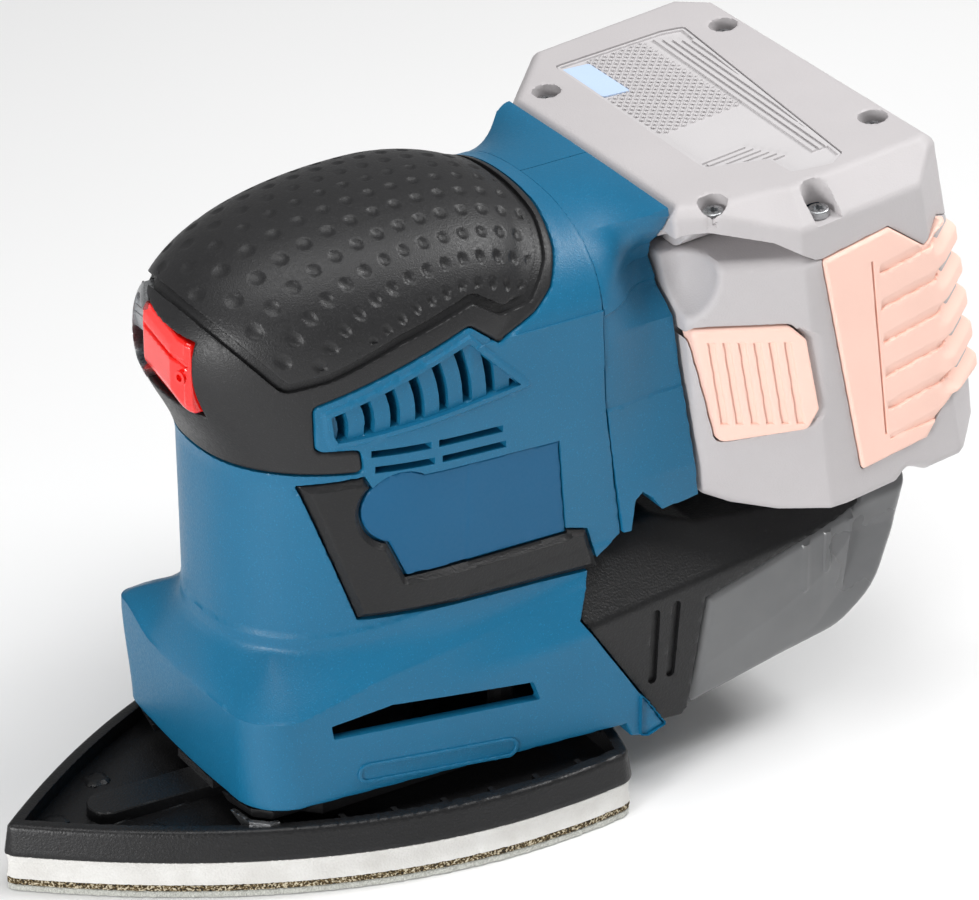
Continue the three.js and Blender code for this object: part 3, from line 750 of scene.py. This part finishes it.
# ---------- battery holder ----------
WING = [(0, 60), (38.3, 70), (38.3, 86.8), (35.4, 108), (34, 127), (27.5, 133), (24.3, 139.5), (26, 144),
        (32.4, 150.4), (36.2, 155.8), (36.2, 157.9), (0, 158.3)]
HOLDER_SIDE = [(-53.4, 200), (SEAM_X - 0.4, 130), (-56.3, 111), (-58.5, 96.7), (-62.4, 72.2), (-64.7, 72.2),
               (-65.5, 80.6), (-67.4, 82.6), (-70, 80.4), (-72.8, 76.6), (-83.3, 77.6), (-80.4, 104),
               (-77.2, 134), (-74.1, 160), (-74, 200)]


def pack_axes(x, z):
    """How far back from the holder and up along it a point is."""
    cosine, sine = math.cos(PACK_TILT), math.sin(PACK_TILT)
    return (PACK_X - x) * cosine + (z - PACK_Z) * sine, (x - PACK_X) * sine + (z - PACK_Z) * cosine


def holder(x, y, z):
    t = smooth((SEAM_X - x) / 19)
    waist = 0.5 * smooth((z - 107.5) / 0.8) * smooth((134.7 - z) / 0.8)
    section = arch(y, z, 37.8) * (1 - t) + polygon(WING, abs(y), z) * t + waist
    shape = both(section, polygon(HOLDER_SIDE, x, z), 0.5)
    back = pack_axes(x, z)[0]
    inner = np.maximum(section + WALL, np.maximum(np.maximum(x + 58, back + 4.5), 84 - z))
    return outside(shape, inner)


def holder_half(sign):
    def field(x, y, z):
        shape = holder(x, y, z)
        back, up = pack_axes(x, z)
        for low, high in ((8, 12), (64, 68)):
            rail = block(back, y, up, (-2, -22, low), (4.6, 22, high))
            shape = np.minimum(shape, rail)
        shape = outside(shape, block(back, y, up, (-12, -16.4, 23.6), (6, 16.4, 52.4)))
        for up_place in (12, 62):
            bore = np.hypot(back + 14, up - up_place) - 3.4
            shape = outside(shape, np.maximum(bore, y + 30))
        return np.maximum(shape, 0.1 - sign * y)
    return field


# ---------- dust box ----------
FRAME_SIDE = [(-47.9, 53.4), (-71.6, 18), (-77.4, 17.6), (-79.1, 19.4), (-83.9, 49.6), (-119, 59.1),
              (-131, 62.6), (-131, 65.4), (-86, 66.4), (-76, 69.6), (-67, 69), (-55, 69), (-52, 64)]
CONTAINER_SIDE = rounded([(-84.4, 49.3), (-79.5, 18.6), (-82, 17.8), (-127.9, 26.2), (-139, 34.6),
                          (-144.6, 51.6), (-146.4, 66.4), (-131.4, 65.6), (-131.4, 62.9), (-119.2, 59.4)],
                         [1, 1, 1, 18, 22, 26, 1, 1, 1, 1])
BOX_HALF = 42.0
GRIP_SLOTS = [[(-69, 49.3), (-68.2, 30.9)], [(-75.1, 50.1), (-73.6, 31.3)]]
CREASE = [(-129.4, 70), (-127.9, 54), (-120.7, 45.7), (-106.1, 38.1), (-80.1, 28), (-70, 24)]
CREASE_LEAN = 0.14  # how the container's side leans in below its crease
THIN_RIDGES = [[(-114.5, 58.5), (-114.5, 42.7)], [(-121, 60), (-121, 46.8)], [(-127.6, 62), (-127.6, 56.5)]]


def roof(x, y, z):
    """The sloping shoulder along the top of the dust box, which rises towards the back."""
    crest = 51.3 + 9.5 * ((-50 - x) / 78)
    return (z - crest - 1.09 * (BOX_HALF - abs(y))) / 1.48


def dust_frame(x, y, z):
    outline = polygon(FRAME_SIDE, x, z)
    walls = abs(y) - BOX_HALF
    top = roof(x, y, z)
    shape = both(both(outline, walls, 0.7), top, 0.8)
    shape = outside(shape, np.maximum(np.maximum(outline + 2.6, walls + WALL), top + WALL))
    for place in GRIP_SLOTS:
        shape = outside(shape, np.maximum(stroke(place, x, z) - 1.25, 40.9 - abs(y)), 0.25)
    return outside(shape, block(x, y, z, (-80, -12.3, 35.2), (-46, 12.3, 43.8)))


def container(x, y, z):
    outline = polygon(CONTAINER_SIDE, x, z)
    crease = np.interp(x, *zip(*CREASE))
    walls = abs(y) - BOX_HALF + 0.5 + CREASE_LEAN * np.clip(crease - z, 0, 16)
    shape = both(both(outline, walls, 3.0), roof(x, y, z) + 0.4, 1.2)
    for place in THIN_RIDGES:
        ridge = np.maximum(stroke(place, x, z) - 0.9, walls - 0.55)
        shape = either(shape, np.maximum(ridge, outline + 2), 0.5)
    return outside(shape, np.maximum(np.maximum(outline + 2.5, walls + 2.5), roof(x, y, z) + 2.9))


# ---------- battery pack, in its own frame of (back, left, up) ----------
PACK_PLAN = rounded([(0.3, -38), (0.3, 37.2), (26, 54), (62, 54), (73, 46), (73, -50), (65, -58),
                     (20, -58)], 2)
CASE_SIDE = rounded([(0.3, -1.6), (8, -6), (18, -9.3), (34, -11), (49, -10.6), (52.6, -7.6), (58, -10.6),
                     (71, -10.4), (78, -4), (82, COVER_UP), (0.3, COVER_UP)], 2)
BUTTON_SIDE = rounded([(1.5, 45.8), (22, 45.0), (25, 41), (26.6, 21), (24, 15.4), (5.4, 13.2)], 2)
BUMPER_SIDE = rounded([(31, 61), (50.5, 63), (60.6, 54), (67.4, 58), (86, 46), (86, 9), (66.1, 10.2),
                       (58, 0), (38.3, -1.4)], 1)
BORDER_SIDE = [(-5, 72.5), (7.3, 72.4), (20, 68.4), (29, 62), (31, 61.6), (50.5, 63.4), (60.6, 54.4),
               (67.4, 58.4), (88, 46), (88, 90), (-5, 90)]
CHAMFER = 0.65  # how the pack's left front corner is cut back


def chamfer_face(b, y):
    return (y - 37.2 - CHAMFER * b) / 1.193


def pack_plan(b, y, u):
    """The pack's plan outline, whose back leans outwards towards the bottom."""
    return polygon(PACK_PLAN, b + 0.105 * (u - 57) * np.clip(b / 73, 0, 1), y)


def pack_to_world(v):
    cosine, sine = math.cos(PACK_TILT), math.sin(PACK_TILT)
    back, left, up = v.T
    return np.stack([PACK_X - back * cosine + up * sine, left, PACK_Z + back * sine + up * cosine], 1)


def scoop(b, y, u):
    """The finger hollow that the holder's waist runs into."""
    spread = np.sqrt((b / 9) ** 2 + ((abs(y) - 38) / 11) ** 2 + ((u - 61.5) / 13) ** 2)
    return (spread - 1) * 9


def pack_hollow(b, y, u):
    return np.maximum(block(b, y, u, (29, -60, 2.6), (80, 46, 72)), pack_plan(b, y, u) + 2.4)


def cover_border(b, y, u):
    """Below zero above the cover's lower edge: level but on the left, where it dips over the chamfer."""
    left = polygon(BORDER_SIDE, b, u)
    level = COVER_UP - u
    return level + (left - level) * smooth((y - 26) / 14)


def battery_case(b, y, u):
    plan = pack_plan(b, y, u)
    shape = both(both(plan, polygon(CASE_SIDE, b, u), 3), GAP - cover_border(b, y, u), 0.5)
    shape = outside(shape, scoop(b, y, u), 1.5)
    face = chamfer_face(b, y)
    button = polygon(BUTTON_SIDE, b, u)
    shape = outside(shape, np.maximum(button - 0.5, -(face + 6.4)), 0.4)
    thumb = np.maximum(polygon([(24, 44), (31, 40), (32, 20), (25, 16)], b, u), -(face + 1.6))
    shape = outside(shape, thumb, 0.6)
    shape = outside(shape, np.maximum(polygon(BUMPER_SIDE, b, u) - 0.4, 51 - y), 0.3)
    shape = outside(shape, pack_hollow(b, y, u))
    slot = block(b, y, u, (-1, -60, 22), (10.4, 18, 54))
    groove = block(b, y, u, (-1, -60, 7.2), (6, 34, 12.8))
    return outside(outside(shape, slot), groove)


PANEL_TOP = rounded([(19, -46), (18, 24), (32.5, 31), (33, 40), (43, 43), (48, 40), (56, -42),
                     (50, -44)], 1.5)
SCREW_PLACES = [(10.3, -36, 79), (10.4, 39, 79), (64, -36, 79), (64, 30, 79), (34, 49, 75)]
LABEL_PLACE = ((19.8, 26.8), (-44.5, -23.5))


def cover_top(b, y, u):
    """The cover's outside: a narrow bevel all round, and a wide one along the left."""
    plan = pack_plan(b, y, u)
    shape = both(both(plan, u - PACK_HIGH, 0.8), (plan + u - PACK_HIGH + 2.4) / 1.42, 0.8)
    left = np.maximum(y - 54, chamfer_face(b, y))
    width = 1.5 + 6.5 * smooth((b - 4) / 26)
    return both(shape, (left + u - PACK_HIGH + width) / 1.42, 0.8)


def battery_cover(b, y, u):
    shape = cover_top(b, y, u)
    shape = both(shape, cover_border(b, y, u), 0.3)
    shape = outside(shape, np.maximum(scoop(b, y, u), u - 71), 0.5)
    for place in SCREW_PLACES:
        bore = np.hypot(b - place[0], y - place[1]) - 3.7
        shape = outside(shape, np.maximum(bore, place[2] - 4.5 - u), 0.6)
    channel = block(b, y, u, (30.3, 49, PACK_HIGH - 8.5), (37.7, 60, 90))
    shape = outside(shape, channel, 0.5)
    shape = outside(shape, np.maximum(polygon(PANEL_TOP, b, y), PACK_HIGH - 1.3 - u))
    groove = block(b, y, u, (-1, -60, 63.4), (6, 34, 68.6))
    return outside(outside(shape, pack_hollow(b, y, u)), groove)


def crosses(b, y, pitch=2.6):
    """A staggered field of small raised crosses."""
    row = np.round(b / (pitch * 0.5))
    across = b - row * pitch * 0.5
    shift = pitch * 0.5 * (row % 2)
    along = y - shift - np.round((y - shift) / pitch) * pitch
    return np.minimum(np.maximum(abs(across) - 0.22, abs(along) - 0.75),
                      np.maximum(abs(along) - 0.22, abs(across) - 0.6))


def cover_inlay(b, y, u):
    """The panel let into the cover: a rim, crosses at one end, and two sets of ribs."""
    top = PACK_HIGH - 0.35
    inside = polygon(PANEL_TOP, b, y)
    slab = np.maximum(inside + 0.3, u - top)
    floor = np.maximum(inside + 1.0, top - 0.55 - u)
    shape = outside(slab, floor, 0.15)
    textured = np.maximum(np.maximum(y - 2, inside + 1.6), b - 44)
    label = block(b, y, u, (LABEL_PLACE[0][0] - 0.5, LABEL_PLACE[1][0] - 0.5, 0),
                  (LABEL_PLACE[0][1] + 0.5, LABEL_PLACE[1][1] + 0.5, 90))
    pattern = outside(np.maximum(crosses(b, y), textured), label)
    shape = np.minimum(shape, np.maximum(pattern, u - top + 0.15))
    held = np.maximum(inside + 0.6, u - top)
    for line in range(6):
        place = 45.2 + line * 1.9
        long_rib = np.maximum(abs(b - place + y * 0.04) - 0.5, abs(y + 4 - line) - 38 + line * 0.8)
        shape = np.minimum(shape, np.maximum(long_rib, held))
        place = 20.8 + line * 1.95
        short_rib = np.maximum(abs(y - place) - 0.6, abs(b - 25.5 - line * 1.0) - 6.5)
        shape = np.minimum(shape, np.maximum(short_rib, held))
    return np.maximum(shape, PACK_HIGH - 1.25 - u)


def pack_label(b, y, u):
    """A blank label with slanted ends."""
    (low_b, high_b), (low_y, high_y) = LABEL_PLACE
    lean = (b - low_b) * 0.25
    outline = both(abs(b - (low_b + high_b) / 2) - (high_b - low_b) / 2,
                   abs(y - lean - (low_y + high_y) / 2) - (high_y - low_y) / 2 + 0.9, 0.6)
    return np.maximum(outline, abs(u - PACK_HIGH + 0.65) - 0.2)


def battery_bumper(b, y, u):
    """The soft side guard: louvres on its face that end in fins along the rear corner."""
    phase = (u - (b - 48) * 0.11 - 2.5) / 9.75
    above = phase - np.floor(phase)
    wave = 1 - abs(2 * above - 1)
    plan = pack_plan(b, y, u)
    louvre = 1.1 * np.clip(1 - above * 3, 0, 1) * smooth((b - 46.3) / 1.0) * (abs(u - 31) < 27)
    fin = np.where(b > 60, 2.6 * (smooth(wave * 1.3) - 0.55) * smooth((b - 62) / 6), 0)
    shape = both(polygon(BUMPER_SIDE, b, u), plan - 1.0 + louvre - fin, 0.9)
    frame_line = np.maximum(abs(b - 45.2 + (u - 30) * 0.02) - 0.3, abs(u - 31) - 25)
    shape = outside(shape, np.maximum(frame_line, 53.9 - y), 0.25)
    return np.maximum(outside(shape, plan + 2.2), 12 - y)


def release_button(b, y, u):
    face = chamfer_face(b, y)
    shape = both(both(polygon(BUTTON_SIDE, b, u), face - 0.6, 0.8), -(face + 3.6), 0.5)
    for line in range(6):
        lean = 5.3 + line * 3.1 + (45 - u) * 0.06
        groove = np.maximum(abs(b - lean) - 0.75, abs(u - 29.5 + (b - 15) * 0.08) - 11.6)
        shape = outside(shape, np.maximum(groove, -(face + 0.1)), 0.45)
    return shape


def cover_screw(place):
    def field(b, y, u):
        from_axis = np.hypot(b - place[0], y - place[1])
        head = both(from_axis - 2.7, abs(u - place[2] + 3.6) - 1.1, 0.5)
        angle = np.arctan2(y - place[1], b - place[0])
        star = from_axis - 1.25 - 0.28 * np.cos(6 * angle)
        return outside(head, np.maximum(star, place[2] - 3.6 - u))
    return field


# ---------- plate ----------
TIP_X, WIDEST_X, PLATE_HALF, PLATE_POWER = 92.0, -33.0, 52.4, 2.03
HEEL_X, HEEL_BOW = -56.0, 7.6


def plate_edge(x, y):
    """Distance from the iron-shaped outline."""
    along = abs(x - WIDEST_X) / (TIP_X - WIDEST_X)
    half = PLATE_HALF * (1 - along ** PLATE_POWER)
    lean = PLATE_HALF * PLATE_POWER * along ** (PLATE_POWER - 1) / (TIP_X - WIDEST_X)
    side = (abs(y) - half) / np.sqrt(1 + lean ** 2)
    rear = HEEL_X - HEEL_BOW * (1 - (y / 50) ** 2) - x
    return both(both(side, rear, 2), x - TIP_X + 0.4, 0.8)


ARM = [(12, 3.4), (64.6, 0.8)]
BOSSES = ((78, -2, 3.2), (60, -14.5, 3.0), (58, 13.3, 2.4), (50, 24, 2.4))  # x, y and radius


def sanding_plate(x, y, z):
    edge = plate_edge(x, y) + (z - TRAY_TOP) * 0.19
    shape = both(both(edge, z - TRAY_TOP, 1.0), TRAY_Z - z, 0.4)
    shape = outside(shape, np.maximum(edge + 3.3, TRAY_FLOOR - z), 0.5)
    arm = both(stroke(ARM, x, y) - 5.2, z - TRAY_FLOOR - 3.4, 0.5)
    shape = either(shape, np.maximum(arm, TRAY_Z + 1 - z), 0.5)
    for ahead, left, radius in BOSSES:
        boss = both(np.hypot(x - ahead, y - left) - radius, z - TRAY_FLOOR - 0.7, 0.3)
        shape = np.minimum(shape, np.maximum(boss, TRAY_Z + 1 - z))
    for rib in range(9):
        place = 44 - rib * 12.5
        web = np.maximum(abs(x - place) - 0.7, np.maximum(z - TRAY_TOP + 1.2, -(edge + 7)))
        web = np.maximum(web, np.maximum(edge + 1, TRAY_Z + 1 - z))
        shape = np.minimum(shape, np.maximum(web, x - 40))
    return shape


def foam_pad(x, y, z):
    top = TRAY_Z - 0.25
    middle = (z - FOAM_Z) / (top - FOAM_Z) * 2 - 1
    edge = plate_edge(x, y) - 1.2 + 0.7 * (1 - middle ** 2)
    return both(both(edge, z - top, 0.35), FOAM_Z - z, 0.35)


CLIP_PLAN = [(42.6, 22), (41.2, 30.4), (37.4, 34.2), (34.8, 34.4), (34.8, 33.2), (36.8, 33), (40.2, 29.8),
             (41.2, 22)]
CLIP_BLOCK = [(42, 18), (40, 29), (36, 33), (26, 33.4), (22, 18)]


def corner_clip(x, y, z):
    """A small folded steel clip at a front corner of the carrier; its lower edge comes to a point."""
    low = 15.0 + 0.5 * abs(y - 30.4)
    return both(polygon(CLIP_PLAN, x, y), np.maximum(z - 18.9, low - z), 0.2)


def corner_block(x, y, z):
    return both(polygon(CLIP_BLOCK, x, y) + (21.4 - z) * 0.35, abs(z - 19.9) - 1.5, 0.4)


def ripple(x, y, scale):
    bent = np.sin(x * 0.9 * scale + 1.3 * np.sin(y * 0.7 * scale))
    return bent * np.sin(y * 0.8 * scale + x * 0.31 * scale)


def hook_layer(x, y, z):
    edge = plate_edge(x, y) - 1.0 + 0.12 * ripple(x, y, 3.1)
    return both(both(edge, z - FOAM_Z + 0.2, 0.2), HOOKS_Z - z, 0.2)


def sanding_sheet(x, y, z):
    edge = plate_edge(x, y) - 0.9 + 0.1 * ripple(x, y, 1.4) + 0.1 * ripple(y, x, 4.1)
    return both(both(edge, z - HOOKS_Z + 0.25, 0.5), -z, 0.6)


# ---------- the pieces ----------
def build_body():
    shell = contour(motor_housing, (-73, -46, 16), (58, 46, 170), 0.8)
    make_piece("motor_housing_shell", [shell], "tool", BLUE, ["motor_housing"])
    cover = contour(grip_cover, (-52, -41, 106), (56, 41, 170), 0.5)
    make_piece("grip_cover_skin", [cover], "tool", SOFT, ["grip_cover"], sharp=40)
    trim = contour(on_left(side_trim), (-58, 14, 62), (26, 46, 109), 0.6)
    plate = contour(on_left(nameplate), (-48, 14, 74), (13, 46, 109), 0.6)
    for side, parts in (("left", (trim, plate)), ("right", (mirrored(trim), mirrored(plate)))):
        make_piece(f"side_trim_band_{side}", parts[:1], "tool", BLACK, [f"side_trim_{side}"])
        make_piece(f"nameplate_blank_{side}", parts[1:], "tool", BLUE_FLAT,
                   [f"nameplate_{side}"])
    rim = contour(on_left(capsule_rim), (-31, 25, 20), (17, 50, 32), 0.3)
    make_piece("capsule_outline_rims", [rim, mirrored(rim)], "tool", BLUE)
    red = contour(rocker, (35, -8, 122), (49, 18, 148), 0.4)
    # the rim round the switch opening is the black grip's edge; its bright steel finish is a painted
    # highlight, not a metal part
    highlight_rim = contour(switch_rim_highlight, (33, -16, 120), (49, -3, 150), 0.35)
    make_piece("switch_rim_painted_highlight", [highlight_rim], "tool", STEEL)
    make_piece("power_rocker", [red], "power_switch", RED, ["switch_rocker"])
    for side, sign in (("left", 1), ("right", -1)):
        reach = sorted((-0.8 * sign, 42 * sign))
        half = contour(holder_half(sign), (-89, reach[0], 70), (-52, reach[1], 160), 0.7)
        make_piece(f"rear_housing_half_{side}", [half], "tool", BLUE,
                   [f"rear_housing_{side}"])


def build_dust_box():
    frame_part = contour(dust_frame, (-133, -44, 15), (-46, 44, 110), 0.9)
    make_piece("dust_box_collar", [frame_part], "dust_box", BLACK, ["dust_box_frame"])
    cup = contour(container, (-148, -44, 15), (-78, 44, 112), 0.7)
    make_piece("dust_cup", [cup], "dust_cup", SMOKE, ["dust_container"])


def build_battery():
    def pack_piece(name, field, low, high, step, material, replaces=()):
        part = contour(field, low, high, step)
        return make_piece(name, [part], "battery", material, replaces, place=pack_to_world)

    pack_piece("battery_case_shell", battery_case, (-1, -60, -13), (82, 56, 75), 0.8, PALE,
               ["battery_case"])
    pack_piece("battery_cover_shell", battery_cover, (-1, -60, 44), (78, 56, 81), 0.7, PALE,
               ["battery_cover"])
    pack_piece("battery_side_guard", battery_bumper, (29, 11, -3), (84, 57, 66), 0.6, SALMON,
               ["battery_bumper"])
    button = contour(release_button, (0, 30, 12), (29, 57, 48), 0.35)
    make_piece("release_button_cap", [button], "battery_button", SALMON, ["release_button"],
               place=pack_to_world)
    pack_piece("battery_cover_inlay", cover_inlay, (16, -48, 77), (59, 45, 79.4), 0.3,
               PALE_FINE)
    pack_piece("battery_blank_label", pack_label, (18, -46, 77.8), (31, -20, 79), 0.3, LABEL)
    for n, place in enumerate(SCREW_PLACES, 1):
        low = (place[0] - 3.4, place[1] - 3.4, place[2] - 5.4)
        high = (place[0] + 3.4, place[1] + 3.4, place[2] - 1.4)
        pack_piece(f"cover_screw_{n}", cover_screw(place), low, high, 0.25, STEEL)


def build_plate():
    tray = contour(sanding_plate, (-68, -57, 9), (96, 57, 20), 0.8)
    make_piece("sanding_plate_tray", [tray], "pad", BLACK, ["sanding_plate"])
    foam = contour(foam_pad, (-68, -57, 3), (96, 57, 11), 0.8)
    make_piece("foam_cushion", [foam], "pad", FOAM, ["foam_pad"])
    clip = contour(corner_clip, (32, 20, 13), (45, 37, 21), 0.35)
    make_piece("corner_clip_left", [clip], "pad", STEEL)
    block_part = contour(corner_block, (19, 15, 17), (45, 36, 23), 0.4)
    make_piece("corner_clip_blocks", [block_part, mirrored(block_part)], "pad", BLACK)
    hooks = contour(hook_layer, (-68, -57, 1.4), (96, 57, 4.4), 0.7)
    make_piece("hook_pile", [hooks], "pad", HOOKS, ["hook_layer"])
    fleece = contour(sanding_sheet, (-68, -57, -0.6), (96, 57, 2.4), 0.7)
    make_piece("abrasive_sheet", [fleece], "pad", FLEECE, ["sanding_sheet"])


def dress_frame_nodes():
    """The inner and small nodes keep their CAD mesh and take a node material by their slot."""
    finishes = {"housing_blue": BLUE, "soft_black": SOFT, "hard_black": BLACK, "switch_red": RED,
                "foam": FOAM, "hooks": HOOKS, "sheet": FLEECE, "steel": STEEL, "contact": COPPER,
                "board": BOARD, "smoke": SMOKE, "filter_paper": PAPER, "pack_grey": PALE,
                "pack_salmon": SALMON, "cell_sleeve": SLEEVE}
    for part in frame["record"]["subparts"]:
        node = frame["nodes"][part["node"]]
        node.data.materials.clear()
        node.data.materials.append(finishes[part["material_slot"]])
        node.data.set_sharp_from_angle(angle=math.radians(35))


# ---------- the picture ----------
def build_stage():
    """A pale floor under the tool."""
    floor = bpy.data.meshes.new("floor")
    size = 6.0
    corners = [(-size, -size, 0), (size, -size, 0), (size, size, 0), (-size, size, 0)]
    floor.from_pydata([(x, y, -0.0001) for x, y, _ in corners], [], [(0, 1, 2, 3)])
    n = Nodes("pale_floor")
    tone = n.ramp(n.noise(3, 2.0), [(0.3, (0.86, 0.86, 0.86)), (0.7, (0.88, 0.88, 0.88))])
    floor.materials.append(n.set(Base_Color=tone, Roughness=0.6))
    ground = bpy.data.objects.new("floor", floor)
    bpy.context.scene.collection.objects.link(ground)


def area_light(name, place, target, size, power):
    lamp = bpy.data.lights.new(name, "AREA")
    lamp.shape = "RECTANGLE"
    lamp.size, lamp.size_y = size
    lamp.energy = power
    light = bpy.data.objects.new(name, lamp)
    light.location = place
    light.rotation_euler = (Vector(target) - Vector(place)).to_track_quat("-Z", "Y").to_euler()
    bpy.context.scene.collection.objects.link(light)


def build_lights():
    aim = (-0.02, 0, 0.08)
    area_light("overhead", (0.1, 0.15, 1.3), aim, (0.8, 0.8), 8)
    area_light("front_low", (1.05, 0.5, 0.25), aim, (0.3, 0.4), 9.5)
    area_light("rear_high", (-0.75, 0.25, 0.95), aim, (0.45, 0.45), 9)
    world = bpy.data.worlds.new("studio")
    world.use_nodes = True
    sky = world.node_tree.nodes["Background"].inputs
    sky["Color"].default_value = (1, 1, 1, 1)
    sky["Strength"].default_value = 0.3
    bpy.context.scene.world = world
    bpy.context.scene.view_settings.view_transform = "Standard"


def build_camera():
    turn, tilt = math.radians(31.5), math.radians(28.5)
    camera = bpy.data.objects.new("camera", bpy.data.cameras.new("camera"))
    camera.data.lens = 184
    camera.data.sensor_width = 36
    camera.location = (0.5280, 0.9368, 0.6796)
    ahead = Vector((-math.sin(turn) * math.cos(tilt), -math.cos(turn) * math.cos(tilt), -math.sin(tilt)))
    camera.rotation_euler = ahead.to_track_quat("-Z", "Y").to_euler()
    bpy.context.scene.collection.objects.link(camera)
    bpy.context.scene.camera = camera


build_body()
build_dust_box()
build_battery()
build_plate()
dress_frame_nodes()
build_stage()
build_lights()
build_camera()

bpy.context.view_layer.update()
